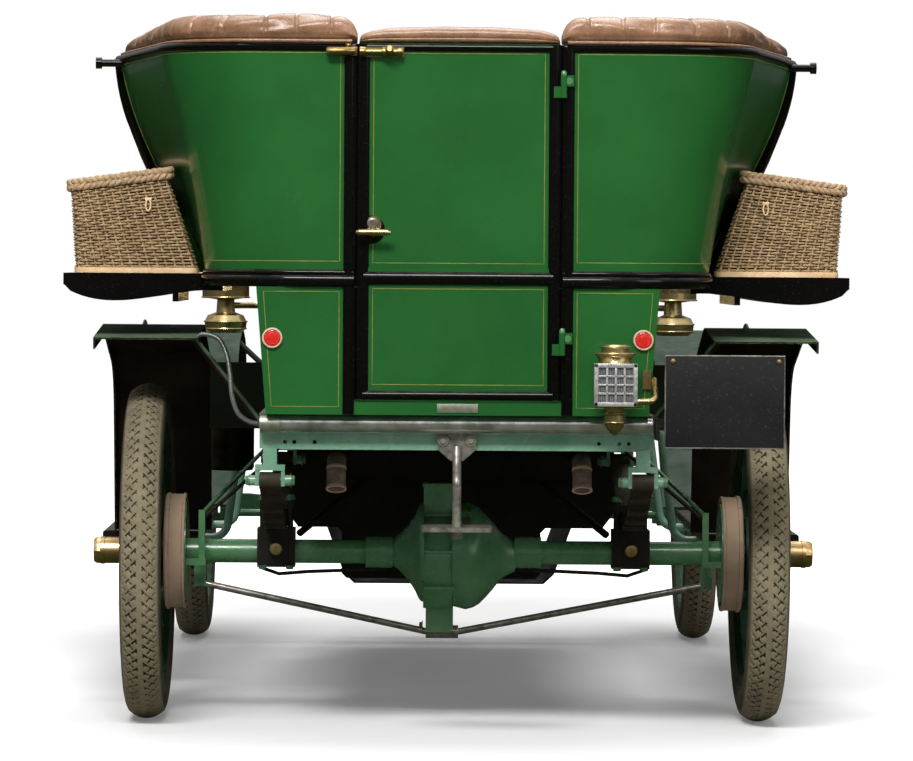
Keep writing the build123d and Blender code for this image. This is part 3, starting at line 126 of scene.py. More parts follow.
class Shader:
    """A material with short ways to add the nodes that these finishes share."""

    def __init__(self, name, roughness=0.5, metallic=0.0):
        self.material = bpy.data.materials.new(name)
        self.material.use_nodes = True
        self.tree = self.material.node_tree
        self.main = self.tree.nodes["Principled BSDF"]
        self.main.inputs["Roughness"].default_value = roughness
        self.main.inputs["Metallic"].default_value = metallic
        self.coords = self.tree.nodes.new("ShaderNodeTexCoord")

    def add(self, kind, inputs=None, **settings):
        return add_node(self.tree, kind, inputs, **settings)

    def place(self, scale=(1, 1, 1), rotation=(0, 0, 0)):
        """Object coordinates, stretched or turned."""
        inputs = {"Vector": self.coords.outputs["Object"], "Scale": scale, "Rotation": rotation}
        return self.add("ShaderNodeMapping", inputs).outputs[0]

    def noise(self, scale, detail=4.0, roughness=0.6, vector=None, distortion=0.0):
        inputs = {"Vector": vector or self.coords.outputs["Object"], "Scale": scale, "Detail": detail,
                  "Roughness": roughness, "Distortion": distortion}
        return self.add("ShaderNodeTexNoise", inputs).outputs["Fac"]

    def voronoi(self, scale, vector=None, feature="F1"):
        inputs = {"Vector": vector or self.coords.outputs["Object"], "Scale": scale}
        return self.add("ShaderNodeTexVoronoi", inputs, feature=feature).outputs["Distance"]

    def ramp(self, value, low, high, start=0.0, end=1.0):
        """A value stretched from low..high to start..end and clamped there."""
        return mapped(self.tree, value, low, high, start, end)

    def cloud(self, grain, low, high, start=0.0, end=1.0):
        """Noise of a scale and detail, stretched as by ramp."""
        return self.ramp(self.noise(*grain), low, high, start, end)

    def tones(self, grain, low, high, first, second):
        """Two screen colours in patches."""
        return self.mix(self.cloud(grain, low, high), srgb(*first), srgb(*second))

    def math(self, operation, first, second):
        return combined(self.tree, operation, first, second)

    def mix(self, share, first, second):
        return mixed(self.tree, share, first, second)

    def colour(self, value):
        self.set("Base Color", value)

    def rough(self, grain, low, high, start, end):
        self.set("Roughness", self.cloud(grain, low, high, start, end))

    def set(self, name, value):
        feed(self.tree, self.main.inputs[name], value)

    def bump(self, height, strength, distance):
        """Adds a bump on top of those already there."""
        inputs = {"Height": height, "Strength": strength, "Distance": distance}
        before = self.main.inputs["Normal"]
        if before.is_linked:
            inputs["Normal"] = before.links[0].from_socket
        node = self.add("ShaderNodeBump", inputs)
        self.set("Normal", node.outputs[0])

    def edge(self, radius, low=0.02, high=0.3):
        """A mask that is 1 on sharp outer edges, from how far a bevel would turn the surface."""
        bevel = self.add("ShaderNodeBevel", {"Radius": radius}, samples=4).outputs[0]
        inputs = {0: bevel, 1: self.add("ShaderNodeNewGeometry").outputs["Normal"]}
        match = self.add("ShaderNodeVectorMath", inputs, operation="DOT_PRODUCT").outputs["Value"]
        return self.ramp(match, 1.0 - low, 1.0 - high)

    def facing(self, axis):
        """One part of the surface's direction."""
        return self.parts(self.add("ShaderNodeNewGeometry").outputs["Normal"])[axis]

    def parts(self, vector=None):
        """A vector's three numbers, of the object's own coordinates where none is given."""
        return self.add("ShaderNodeSeparateXYZ", {0: vector or self.coords.outputs["Object"]}).outputs

    def distance(self, first, second):
        """How far two numbers lie from nought together."""
        joined = self.add("ShaderNodeCombineXYZ", {"X": first, "Y": second}).outputs[0]
        return self.add("ShaderNodeVectorMath", {0: joined}, operation="LENGTH").outputs["Value"]

    def upward(self):
        """A mask that is 1 on faces that look up."""
        return self.ramp(self.facing("Z"), 0.2, 0.9)


def gloss_paint(name, colour, deep, dust, dust_share=0.25, roughness=0.28, coat=0.5, specular=0.35):
    """Brushed coach paint: a slight change of depth, fine dust and a soft coat."""
    shader = Shader(name, roughness)
    body = shader.tones((3.5, 5), 0.35, 0.7, colour, deep)
    specks = shader.cloud((160, 3, 0.7), 0.60, 0.78, 0, dust_share)
    lying = shader.math("MULTIPLY", shader.upward(), shader.cloud((28, 4), 0.35, 0.75, 0, 0.3))
    shader.colour(shader.mix(shader.math("MAXIMUM", specks, lying), body, srgb(*dust)))
    shader.rough((9, 6), 0.3, 0.75, roughness * 0.75, roughness * 1.3)
    shader.set("Coat Weight", coat)
    shader.set("Coat Roughness", 0.05)
    shader.set("Specular IOR Level", specular)
    shader.bump(shader.noise(240, 2), 0.06, 0.0004)
    shader.bump(shader.noise(6, 3), 0.12, 0.002)
    return shader


def metal(name, colour, deep, roughness, tarnish_and_reflection, tarnish_and_reflection_share, scratch=0.15):
    """Bare metal with patches of tarnish, which on brass also stand for a painted dark reflection, and fine
    polishing lines.
    """
    shader = Shader(name, roughness, 1.0)
    # Patches toward the tarnish colour: tarnish, and on brass also a painted reflection of dark
    # surroundings
    cloud = shader.ramp(shader.noise(22, 7, 0.65, distortion=0.6), 0.42, 0.72, 0, tarnish_and_reflection_share)
    tone = shader.tones((5, 3), 0.3, 0.7, colour, deep)
    shader.colour(shader.mix(cloud, tone, srgb(*tarnish_and_reflection)))
    rub = shader.noise(90, 5, 0.8, shader.place((1, 1, 14)))
    shader.set("Roughness", shader.math("ADD", shader.ramp(rub, 0.3, 0.8, roughness * 0.7, roughness * 1.5),
                                        shader.math("MULTIPLY", cloud, 0.35)))
    shader.bump(rub, scratch, 0.0004)
    return shader


def worn_enamel(name, colour, worn, dust, roughness, dust_share, specular=0.4):
    """Brushed enamel on chassis pieces: chipped at the edges, and paler where it faces up, part dust and
    part painted sheen.
    """
    shader = Shader(name, roughness)
    chips = shader.math("MULTIPLY", shader.edge(0.004), shader.cloud((60, 6, 0.75), 0.45, 0.6))
    tone = shader.mix(shader.cloud((7, 5), 0.3, 0.75, 0, 0.55), srgb(*colour), srgb(*dust))
    grime = shader.math("MULTIPLY", shader.cloud((34, 6, 0.7), 0.4, 0.72), dust_share)
    # Up-facing faces are paled toward the dust colour: part dust, part a painted sheen from the light above
    lying = shader.math("MULTIPLY", shader.upward(), 0.4)
    dusty = shader.mix(shader.math("MAXIMUM", grime, lying), tone, srgb(*dust))
    shader.colour(shader.mix(chips, dusty, srgb(*worn)))
    shader.rough((18, 5), 0.3, 0.7, roughness * 0.8, roughness * 1.5)
    shader.set("Specular IOR Level", specular)
    shader.bump(shader.noise(120, 4), 0.10, 0.0006)
    shader.bump(shader.noise(900, 2), 0.08, 0.0002)
    return shader


def leather_material(name):
    """Brown hide: pebbled grain, creases, paler rubbed crowns."""
    shader = Shader(name, 0.42)
    tone = shader.tones((14, 5), 0.3, 0.7, (158, 118, 88), (122, 87, 62))
    rubbed = shader.cloud((46, 6, 0.7), 0.55, 0.78, 0, 0.5)
    veins = shader.voronoi(70, shader.place(), "DISTANCE_TO_EDGE")
    creases = shader.ramp(veins, 0.0, 0.06, 0.35, 0)
    shader.colour(shader.mix(creases, shader.mix(rubbed, tone, srgb(198, 160, 128)), srgb(84, 56, 38)))
    shader.rough((60, 5), 0.3, 0.7, 0.20, 0.38)
    shader.set("Specular IOR Level", 0.55)
    shader.bump(shader.voronoi(620), 0.35, 0.0005)
    shader.bump(shader.noise(55, 6, 0.65), 0.35, 0.0025)
    return shader


def wicker_material(name, colour, deep, pale):
    """Willow rods: two tones in patches, with pale streaks."""
    shader = Shader(name, 0.55)
    tone = shader.tones((60, 5), 0.32, 0.68, colour, deep)
    streak = shader.ramp(shader.noise(220, 4, 0.7, shader.place((1, 1, 2))), 0.5, 0.75, 0, 0.7)
    shader.colour(shader.mix(streak, tone, srgb(*pale)))
    shader.rough((130, 4), 0.3, 0.7, 0.42, 0.7)
    shader.bump(shader.noise(900, 3), 0.3, 0.0004)
    return shader


def wood_material(name):
    """Varnished mahogany with long grain."""
    shader = Shader(name, 0.25)
    grain = shader.noise(26, 9, 0.7, shader.place((1, 9, 9)), 0.8)
    shader.colour(shader.mix(shader.ramp(grain, 0.35, 0.65), srgb(104, 52, 26), srgb(56, 26, 14)))
    shader.set("Roughness", shader.ramp(grain, 0.3, 0.7, 0.18, 0.34))
    shader.set("Coat Weight", 0.6)
    shader.bump(grain, 0.08, 0.0006)
    return shader


def tyre_material(name):
    """Tan dusty rubber: paler on the crown, with painted shade on the walls and down in the cuts."""
    shader = Shader(name, 0.85)
    place = shader.parts()
    reach = shader.distance(place["Y"], place["Z"])
    spot = shader.distance(place["X"], shader.math("SUBTRACT", reach, CROWN_MIDDLE))
    depth = shader.math("SUBTRACT", CROWN_RADIUS, spot)
    tone = shader.tones((30, 6), 0.3, 0.7, (134, 124, 98), (110, 102, 80))
    pale = shader.cloud((160, 6, 0.75), 0.50, 0.72, 0, 0.55)
    scuffed = shader.mix(pale, tone, srgb(160, 150, 124))
    # The walls take dark tones: painted shade on the sides turned from the light
    wall = shader.tones((18, 5), 0.35, 0.7, (58, 53, 42), (84, 77, 62))
    body = shader.mix(shader.ramp(reach, 0.352, 0.364), wall, scuffed)
    # Darker the deeper the cut: painted shade in the tread cuts
    cut = shader.math("MULTIPLY", shader.ramp(depth, 0.0013, 0.0027), shader.ramp(reach, 0.362, 0.366))
    shader.colour(shader.mix(cut, body, srgb(42, 36, 27)))
    shader.set("Specular IOR Level", 0.25)
    shader.bump(shader.noise(420, 5, 0.7), 0.35, 0.0006)
    return shader


def glass_material(name):
    """Old lamp glass, slightly wavy."""
    shader = Shader(name, 0.08)
    shader.colour(srgb(224, 232, 226))
    shader.set("Transmission Weight", 0.85)
    shader.set("IOR", 1.45)
    shader.bump(shader.noise(40, 3), 0.2, 0.001)
    return shader


def cast_material(name):
    """Oily cast iron."""
    shader = Shader(name, 0.5, 0.6)
    shader.colour(shader.tones((20, 6), 0.35, 0.7, (70, 68, 64), (30, 28, 26)))
    shader.rough((30, 5), 0.3, 0.7, 0.35, 0.7)
    shader.bump(shader.noise(260, 4), 0.35, 0.001)
    return shader


def sleeve_material(name):
    """A woven grey sleeve: fine diagonal rings round a cable."""
    shader = Shader(name, 0.6)
    inputs = {"Vector": shader.place(rotation=(0.5, 0.3, 0)), "Scale": 90.0, "Distortion": 0.6}
    rings = shader.add("ShaderNodeTexWave", inputs).outputs["Fac"]
    shader.colour(shader.mix(rings, srgb(52, 58, 58), srgb(104, 112, 112)))
    shader.bump(rings, 0.5, 0.0008)
    return shader


def guard_material(name, colour, deep):
    """Guard sheet: green where it looks up, brown-black on every face that does not, part mud beneath and
    part painted shade on the steep slopes.
    """
    shader = Shader(name, 0.5)
    above = shader.tones((12, 5), 0.3, 0.7, colour, deep)
    below = shader.tones((9, 6), 0.35, 0.75, (24, 20, 14), (44, 34, 22))
    worn = shader.math("MULTIPLY", shader.edge(0.003), shader.cloud((70, 5), 0.4, 0.6))
    # Faces turned from the sky take the brown-black: mud under the guard, and painted shade on its steep
    # slopes
    paint = shader.mix(shader.ramp(shader.facing("Z"), -0.05, 0.25), below, above)
    shader.colour(shader.mix(worn, paint, srgb(112, 116, 92)))
    shader.rough((22, 5), 0.3, 0.7, 0.42, 0.7)
    shader.set("Specular IOR Level", 0.12)
    shader.bump(shader.noise(90, 4), 0.12, 0.0008)
    return shader


def exhaust_material(name):
    """Heat-faded pipe mouths, sooty black further in."""
    shader = Shader(name, 0.7)
    rust = shader.tones((40, 6, 0.7), 0.35, 0.7, (128, 112, 98), (84, 70, 58))
    soot = shader.tones((16, 5), 0.3, 0.7, (20, 17, 14), (34, 28, 22))
    inward = shader.ramp(shader.parts()["Y"], REAR_AXLE_Y - 0.318, REAR_AXLE_Y - 0.285)
    shader.colour(shader.mix(inward, rust, soot))
    shader.set("Specular IOR Level", 0.2)
    shader.bump(shader.noise(150, 5, 0.7), 0.3, 0.0008)
    return shader


def plain(name, colour, roughness, metallic=0.0, deep=None, grain=80.0, specular=0.5):
    """A small part's finish: two tones in fine patches and a light grain."""
    shader = Shader(name, roughness, metallic)
    shader.colour(shader.tones((grain, 5), 0.35, 0.7, colour, deep or colour))
    shader.rough((grain * 0.4, 5), 0.3, 0.7, roughness * 0.75, roughness * 1.3)
    shader.set("Specular IOR Level", specular)
    shader.bump(shader.noise(grain * 6, 3), 0.15, 0.0004)
    return shader


# Finishes by name: what makes each one, with its values
MATERIALS = {name: maker(name, *values).material for name, (maker, *values) in {
    "green_paint": (gloss_paint, (35, 92, 40), (28, 80, 36), (108, 132, 100), 0.10, 0.22, 0.18, 0.16),
    "green_chassis": (worn_enamel, (52, 110, 60), (128, 120, 100), (104, 138, 108), 0.24, 0.30, 0.6),
    # The frame's green is paler than its paint all over: a painted sky reflection
    "frame_green_sky_sheen": (worn_enamel, (84, 134, 104), (160, 160, 146), (142, 170, 150), 0.22, 0.35, 0.5),
    # Front guards: the guard green darkened below its paint, painted shade
    "guard_green": (guard_material, (40, 60, 44), (28, 46, 34)),
    "black_gloss": (gloss_paint, (10, 9, 8), (6, 6, 5), (112, 104, 92), 0.10, 0.16, 0.12, 0.12),
    "black_satin": (worn_enamel, (17, 16, 14), (88, 78, 62), (46, 42, 34), 0.40, 0.35, 0.15),
    "drum_brown": (worn_enamel, (150, 124, 100), (88, 74, 60), (176, 154, 130), 0.55, 0.5, 0.3),
    # Brass with dark tarnish patches: part tarnish, part painted reflection of dark surroundings
    "brass": (metal, (216, 196, 144), (160, 134, 84), 0.24, (82, 64, 36), 0.75),
    "bronze_dark": (metal, (58, 52, 42), (30, 27, 22), 0.34, (84, 72, 54), 0.5),
    "engine_iron": (cast_material,),
    "spring_steel": (worn_enamel, (40, 32, 20), (96, 84, 64), (58, 52, 38), 0.5, 0.35, 0.2),
    "brown_leather": (leather_material,),
    "wicker": (wicker_material, (176, 147, 106), (124, 97, 64), (224, 198, 156)),
    "dash_wood": (wood_material,),
    "tyre_rubber": (tyre_material,),
    "conduit_grey": (sleeve_material,),
    "gold_line": (plain, (126, 132, 64), 0.5, 0.0, (96, 112, 54), 80.0, 0.2),
    "dull_metal": (plain, (172, 176, 158), 0.38, 0.8, (136, 138, 122), 46),
    "worn_steel": (plain, (152, 148, 138), 0.34, 0.6, (92, 87, 78), 60),
    "exhaust": (exhaust_material,),
    "plate_enamel": (gloss_paint, (34, 34, 36), (24, 24, 25), (96, 96, 94), 0.45, 0.45, 0.1, 0.15),
    "sleeve_braid": (plain, (150, 150, 146), 0.42, 0.7, (84, 84, 82), 300),
    "cream_rim": (plain, (214, 194, 166), 0.5, 0.0, (184, 160, 130)),
    "red_lens": (plain, (214, 42, 28), 0.16, 0.0, (176, 26, 20), 200),
    "hub_brass": (metal, (222, 196, 148), (196, 160, 104), 0.28, (120, 84, 58), 0.7),
    "silver_plate": (plain, (228, 228, 224), 0.30, 0.75, (176, 176, 172), 140),
    "grey_lens": (plain, (128, 128, 130), 0.22, 0.2, (84, 84, 88), 260),
    "wicker_dark": (plain, (70, 50, 34), 0.8, 0.0, (48, 34, 24)),
    "wicker_braid": (wicker_material, (184, 154, 118), (148, 118, 84), (222, 198, 158)),
    "pale_wood": (plain, (236, 204, 160), 0.5, 0.0, (204, 166, 120), 40),
    "lamp_glass": (glass_material,),
    # Rear guards: the same guard green made much lighter, painted light; a lit copy of guard_green
    "rear_guard_painted_light": (guard_material, (108, 130, 102), (82, 104, 78)),
    # Rear wheels: their green darkened well below the wheels' paint, painted shade
    "wheel_green_shaded": (worn_enamel, (26, 60, 38), (96, 90, 72), (52, 74, 54), 0.30, 0.30, 0.3),
    # The rear tube's black paint given as pale bright metal, so it shows a painted sky reflection
    "tube_sky_sheen": (plain, (226, 226, 224), 0.17, 0.9, (158, 157, 154), 30),
}.items()}


# CAD nodes whose look differs from the rest of their slot
SPECIAL = {
    "rear_step": "worn_steel",
    "frame": "frame_green_sky_sheen",
    "exhaust": "exhaust",
    "brake_gear": "green_chassis",
    "rear_tube": "tube_sky_sheen",
    "rear_mudguards": "rear_guard_painted_light",
    "wheel_rear_left": "wheel_green_shaded",
    "wheel_rear_right": "wheel_green_shaded",
}


def dress_cad():
    """Gives every CAD node the finish of its material slot, or the one SPECIAL names for it."""
    slots = {part["node"]: part["material_slot"] for part in frame["record"]["subparts"]}
    for name, node in NODES.items():
        node.data.materials.clear()
        node.data.materials.append(MATERIALS[SPECIAL.get(name, slots[name])])


# Camera, floor and light

CAMERA_X = -0.1124
CAMERA_BACK = 10.33
CAMERA_Z = 1.035
CAMERA_YAW = 0.648
CAMERA_PITCH = 1.467
CAMERA_ROLL = 0.40
PHOTO_WIDTH = 913
FOCAL_PIXELS = 4550


def make_camera():
    """The camera where the photograph was taken, behind the car and low."""
    data = bpy.data.cameras.new("camera")
    data.sensor_width = 36
    data.lens = FOCAL_PIXELS * data.sensor_width / PHOTO_WIDTH
    camera = bpy.data.objects.new("camera", data)
    SCENE.collection.objects.link(camera)
    yaw = Matrix.Rotation(radians(-CAMERA_YAW), 4, "Z")
    pitch = Matrix.Rotation(radians(90 - CAMERA_PITCH), 4, "X")
    turn = yaw @ pitch @ Matrix.Rotation(radians(CAMERA_ROLL), 4, "Z")
    camera.matrix_world = Matrix.Translation((CAMERA_X, REAR_AXLE_Y - CAMERA_BACK, CAMERA_Z)) @ turn
    SCENE.camera = camera


def seen_rays(tree):
    """1 for camera and transmission rays and 0 for the rest, with the glossy rays' own mask."""
    path = add_node(tree, "ShaderNodeLightPath").outputs
    seen = combined(tree, "MAXIMUM", path["Is Camera Ray"], path["Is Transmission Ray"])
    return seen, path["Is Glossy Ray"]


# The floor as the camera sees it, as it lights the car from below and as the car mirrors it
FLOOR_SEEN = (0.86, 0.86, 0.86, 1)
FLOOR_UNDER = (0.42, 0.42, 0.42, 1)
FLOOR_MIRRORED = (0.055, 0.065, 0.030, 1)
# Area lamps: name, place, aim, size and power
LAMPS = (
    ("key", (-1.4, -8.4, 7.0), (0, -0.8, 0.8), (4.4, 1.7), 940),
    ("fill", (5.5, -6.5, 3.6), (0, -0.6, 0.9), (3.5, 3.5), 110),
    ("top", (0, 0.6, 8.0), (0, 0, 0), (6.0, 6.0), 420),
    ("front", (1.0, 6.5, 8.5), (0, 0.4, 0.6), (5.0, 2.0), 190),
)


def make_stage():
    """A white floor that keeps a grey shadow, white surroundings and soft lamps."""
    half = 40
    mesh = bpy.data.meshes.new("floor")
    corners = [(-half, -half, 0), (half, -half, 0), (half, half, 0), (-half, half, 0)]
    mesh.from_pydata(corners, [], [(0, 1, 2, 3)])
    ground = bpy.data.objects.new("floor", mesh)
    SCENE.collection.objects.link(ground)
    material = bpy.data.materials.new("floor")
    material.use_nodes = True
    tree = material.node_tree
    shader = tree.nodes["Principled BSDF"]
    seen, gloss = seen_rays(tree)
    place = add_node(tree, "ShaderNodeTexCoord").outputs["Object"]
    reach = add_node(tree, "ShaderNodeVectorMath", {0: place}, operation="LENGTH").outputs["Value"]
    far = mapped(tree, reach, 2.4, 4.6, 0.12, interpolation_type="SMOOTHSTEP")
    unseen = mixed(tree, gloss, FLOOR_UNDER, FLOOR_MIRRORED)
    for name, value in (("Base Color", mixed(tree, seen, unseen, FLOOR_SEEN)), ("Roughness", 1),
                        ("Specular IOR Level", 0), ("Emission Color", (1, 1, 1, 1)),
                        ("Emission Strength", combined(tree, "MULTIPLY", seen, far))):
        feed(tree, shader.inputs[name], value)
    mesh.materials.append(material)

    world = bpy.data.worlds.new("world")
    SCENE.world = world
    world.use_nodes = True
    tree = world.node_tree
    back = tree.nodes["Background"]
    back.inputs["Color"].default_value = (1, 1, 1, 1)
    seen, gloss = seen_rays(tree)
    ray = add_node(tree, "ShaderNodeTexCoord").outputs["Generated"]
    height = add_node(tree, "ShaderNodeSeparateXYZ", {0: ray}).outputs["Z"]
    rise = mapped(tree, height, 0.02, 0.60, -0.12, 0.80)
    lit = combined(tree, "ADD", seen, combined(tree, "MULTIPLY", gloss, rise))
    feed(tree, back.inputs["Strength"], mapped(tree, lit, 0.0, 1.0, 0.20, 1.0, clamp=False))

    for name, place, aim, size, power in LAMPS:
        data = bpy.data.lights.new(name, "AREA")
        data.shape = "RECTANGLE"
        data.size, data.size_y = size
        data.energy = power
        lamp = bpy.data.objects.new(name, data)
        SCENE.collection.objects.link(lamp)
        lamp.location = place
        lamp.rotation_euler = (Vector(aim) - Vector(place)).to_track_quat("-Z", "Y").to_euler()
    SCENE.view_settings.view_transform = "Standard"


# Building pieces

def blend_points(first, last, share):
    return Vector(first) * (1 - share) + Vector(last) * share


def rounded(corners, radius, steps=10):
    """A flat line through corners, each inner one rounded to a radius."""
    corners = [Vector(corner) for corner in corners]
    line = [corners[0]]
    for before, corner, after in zip(corners, corners[1:], corners[2:]):
        back = (before - corner).normalized()
        ahead = (after - corner).normalized()
        half = back.angle(ahead) / 2
        reach = radius / tan(half)
        middle = corner + (back + ahead).normalized() * (radius / sin(half))
        first = corner + back * reach - middle
        last = corner + ahead * reach - middle
        swing = first.angle(last)
        for step in range(steps + 1):
            share = step / steps
            turned = first * sin((1 - share) * swing) + last * sin(share * swing)
            line.append(middle + turned / sin(swing))
    return line + [corners[-1]]


def spaced(line, step=0.0, count=0, closed=False):
    """The same line with its points a steady step apart, or in a set number of steps."""
    line = [Vector(point) for point in line]
    if closed:
        line.append(line[0].copy())
    reach = [0.0]
    for first, last in zip(line, line[1:]):
        reach.append(reach[-1] + (last - first).length)
    count = count or max(2, round(reach[-1] / step))
    points, leg = [], 0
    for number in range(count if closed else count + 1):
        want = reach[-1] * number / count
        while leg < len(line) - 2 and reach[leg + 1] < want:
            leg += 1
        share = (want - reach[leg]) / max(1e-9, reach[leg + 1] - reach[leg])
        points.append(line[leg].lerp(line[leg + 1], min(1, share)))
    return points


def eased_loop(corners, radius):
    """A closed loop through corners, each rounded off."""
    loop = []
    for number, corner in enumerate(corners):
        before, after = corners[number - 1], corners[(number + 1) % len(corners)]
        back, ahead = (before - corner).normalized(), (after - corner).normalized()
        for step in range(6):
            turn = step / 5
            loop.append(corner + back * radius * (1 - turn) ** 2 + ahead * radius * turn ** 2)
    return loop


def heading(line, number, closed=False):
    """A line's way at one of its points, from the point before to the point after."""
    last = len(line) - 1
    if closed:
        return Vector(line[(number + 1) % len(line)]) - Vector(line[number - 1])
    return Vector(line[min(number + 1, last)]) - Vector(line[max(number - 1, 0)])


def outward(way):
    """The level direction to the right of a way."""
    return Vector((way.y, -way.x, 0)).normalized()


def on_side(point, side):
    return Vector((point.x * side, point.y, point.z))


def crease(distance, width):
    """A narrow dip, 1 deep in its middle."""
    return -exp(-(distance / width) ** 2)


def swelled(value, power):
    """A sine or cosine made fuller, with its sign kept."""
    return abs(value) ** power * (1 if value > 0 else -1)


def dome(place, power, root):
    """1 in the middle and 0 at both ends of -1..1, with a flat top."""
    return (1 - abs(place) ** power) ** root if abs(place) < 1 else 0.0


def circle(centre, side, other, radius, count):
    """Points round a circle that two directions span."""
    return [centre + (side * cos(2 * pi * i / count) + other * sin(2 * pi * i / count)) * radius
            for i in range(count)]


def ring_line(centre, radius, normal, count=32):
    """Points round a circle."""
    side = Vector(normal).orthogonal().normalized()
    return circle(Vector(centre), side, Vector(normal).normalized().cross(side), radius, count)


def spokes(count, offset=0.5):
    """Turns and directions evenly round an axle."""
    for number in range(count):
        turn = 2 * pi * (number + offset) / count
        yield turn, Vector((0, sin(turn), cos(turn)))


class Piece:
    """Geometry gathered with y from the rear axle, then built as one object on a body."""

    def __init__(self, name, finish, body="car"):
        self.name = name
        self.finish = finish
        self.body = body
        self.points = []
        self.faces = []

    def grid(self, rows, wrap_rows=False, wrap_columns=False):
        start = len(self.points)
        width = len(rows[0])
        for row in rows:
            self.points.extend(row)
        for row in range(len(rows) - (0 if wrap_rows else 1)):
            low = start + row * width
            high = start + (row + 1) % len(rows) * width
            for column in range(width - (0 if wrap_columns else 1)):
                beside = (column + 1) % width
                self.faces.append((low + column, low + beside, high + beside, high + column))
        return self

    def cap(self, ring):
        start = len(self.points)
        self.points.extend(ring)
        self.faces.append(tuple(range(start, start + len(ring))))

    def solid(self, rings, closed=False):
        """Rings joined one after another, with both ends capped unless the last meets the first."""
        self.grid(rings, closed, True)
        if not closed:
            self.cap(rings[0])
            self.cap(rings[-1])
        return self

    def tube(self, line, radius, sides=10, closed=False, flat=1.0, normal=None):
        """A round rod along a line; flat squeezes it along its normal."""
        rings = []
        for number, point in enumerate(line):
            tangent = heading(line, number, closed).normalized()
            if normal is None:
                normal = tangent.orthogonal()
            normal = (normal - tangent * normal.dot(tangent)).normalized()
            side = tangent.cross(normal)
            size = radius[number] if isinstance(radius, list) else radius
            rings.append(circle(Vector(point), normal * flat, side, size, sides))
        return self.solid(rings, closed)

    def hoop(self, centre, radius, normal, thick, count, sides=8):
        """A round rod bent into a circle."""
        return self.tube(ring_line(centre, radius, normal, count), thick, sides, closed=True)

    def lathe(self, profile, origin, direction, sides=40):
        """A turned piece from (along, radius) points about a line from origin."""
        axis = Vector(direction).normalized()
        side = axis.orthogonal().normalized()
        other = axis.cross(side)
        rows = []
        for along, radius in profile:
            rows.append(circle(Vector(origin) + axis * along, side, other, max(radius, 1e-5), sides))
        return self.grid(rows, False, True)

    def block(self, low, high, bevel=0.0):
        """A box between two corners, with its edges cut back by bevel."""
        work = bmesh.new()
        bmesh.ops.create_cube(work, size=1)
        low, high = Vector(map(min, low, high)), Vector(map(max, low, high))
        for vertex in work.verts:
            vertex.co = (low + high) / 2 + Vector(a * b for a, b in zip(vertex.co, high - low))
        if bevel:
            edges = work.edges[:]
            bmesh.ops.bevel(work, geom=edges, offset=bevel, segments=2, affect="EDGES", profile=0.6)
        start = len(self.points)
        work.verts.index_update()
        self.points.extend(vertex.co.copy() for vertex in work.verts)
        self.faces.extend(tuple(start + vertex.index for vertex in face.verts) for face in work.faces)
        work.free()
        return self

    def bolt(self, place, direction, radius=0.008, height=0.006, turn=0.0):
        """A six-sided head with a washer under it and a low dome."""
        axis = Vector(direction).normalized()
        self.lathe(((0, radius * 1.35), (0.0015, radius * 1.35), (0.0016, radius * 0.9)), place, axis, 20)
        side = Matrix.Rotation(turn, 3, axis) @ axis.orthogonal().normalized()
        other = axis.cross(side)
        rows = []
        for along, size in ((0.0012, radius), (height * 0.8, radius), (height, radius * 0.8),
                            (height * 1.02, 1e-5)):
            rows.append(circle(Vector(place) + axis * along, side, other, size, 6))
        return self.grid(rows, False, True)

    def rivet(self, place, direction, radius=0.006):
        profile = [(radius * 0.6 * sin(pi * i / 10), radius * cos(pi * i / 10)) for i in range(6)]
        return self.lathe(profile, place, direction, 14)

    def moulding(self, line, normals, half, proud):
        """A half-round moulding along a line on a surface with the given outward normals."""
        rings = []
        for number, (point, normal) in enumerate(zip(line, normals)):
            across = normal.cross(heading(line, number)).normalized() * half
            ring = [point + across * cos(pi * i / 8) + normal * (proud * sin(pi * i / 8)) for i in range(9)]
            sunk = normal * 0.003
            rings.append(ring + [point - across - sunk, point + across - sunk])
        return self.solid(rings)

    def build(self, sharp=38, replaces=(), centre=(0, 0, 0)):
        mesh = bpy.data.meshes.new(self.name)
        shift = Vector((0, 0 if any(centre) else REAR_AXLE_Y, 0))
        mesh.from_pydata([Vector(point) + shift for point in self.points], [], self.faces)
        work = bmesh.new()
        work.from_mesh(mesh)
        bmesh.ops.recalc_face_normals(work, faces=work.faces[:])
        work.to_mesh(mesh)
        work.free()
        mesh.polygons.foreach_set("use_smooth", [True] * len(mesh.polygons))
        mesh.set_sharp_from_angle(angle=radians(sharp))
        mesh.materials.append(MATERIALS[self.finish])
        piece = bpy.data.objects.new(self.name, mesh)
        SCENE.collection.objects.link(piece)
        if any(centre):
            piece.location = Vector(centre) + Vector((0, REAR_AXLE_Y, 0))
            bpy.context.view_layer.update()
        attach(piece, self.body)
        for node in replaces:
            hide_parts(node)
        return piece


def surface_of(*names):
    """A tree of the named CAD nodes' faces, with y from the rear axle."""
    points, faces = [], []
    for name in names:
        mesh = NODES[name].data
        start = len(points)
        points.extend(vertex.co - Vector((0, REAR_AXLE_Y, 0)) for vertex in mesh.vertices)
        faces.extend(tuple(start + index for index in polygon.vertices) for polygon in mesh.polygons)
    return BVHTree.FromPolygons(points, faces)


def plan(z):
    """The tonneau's half width in front, rear corner and front edge at a height."""
    for low, high in zip(TONNEAU, TONNEAU[1:]):
        if z <= high[0] or high is TONNEAU[-1]:
            share = (z - low[0]) / (high[0] - low[0])
            return [a + (b - a) * share for a, b in zip(low[1:], high[1:])]


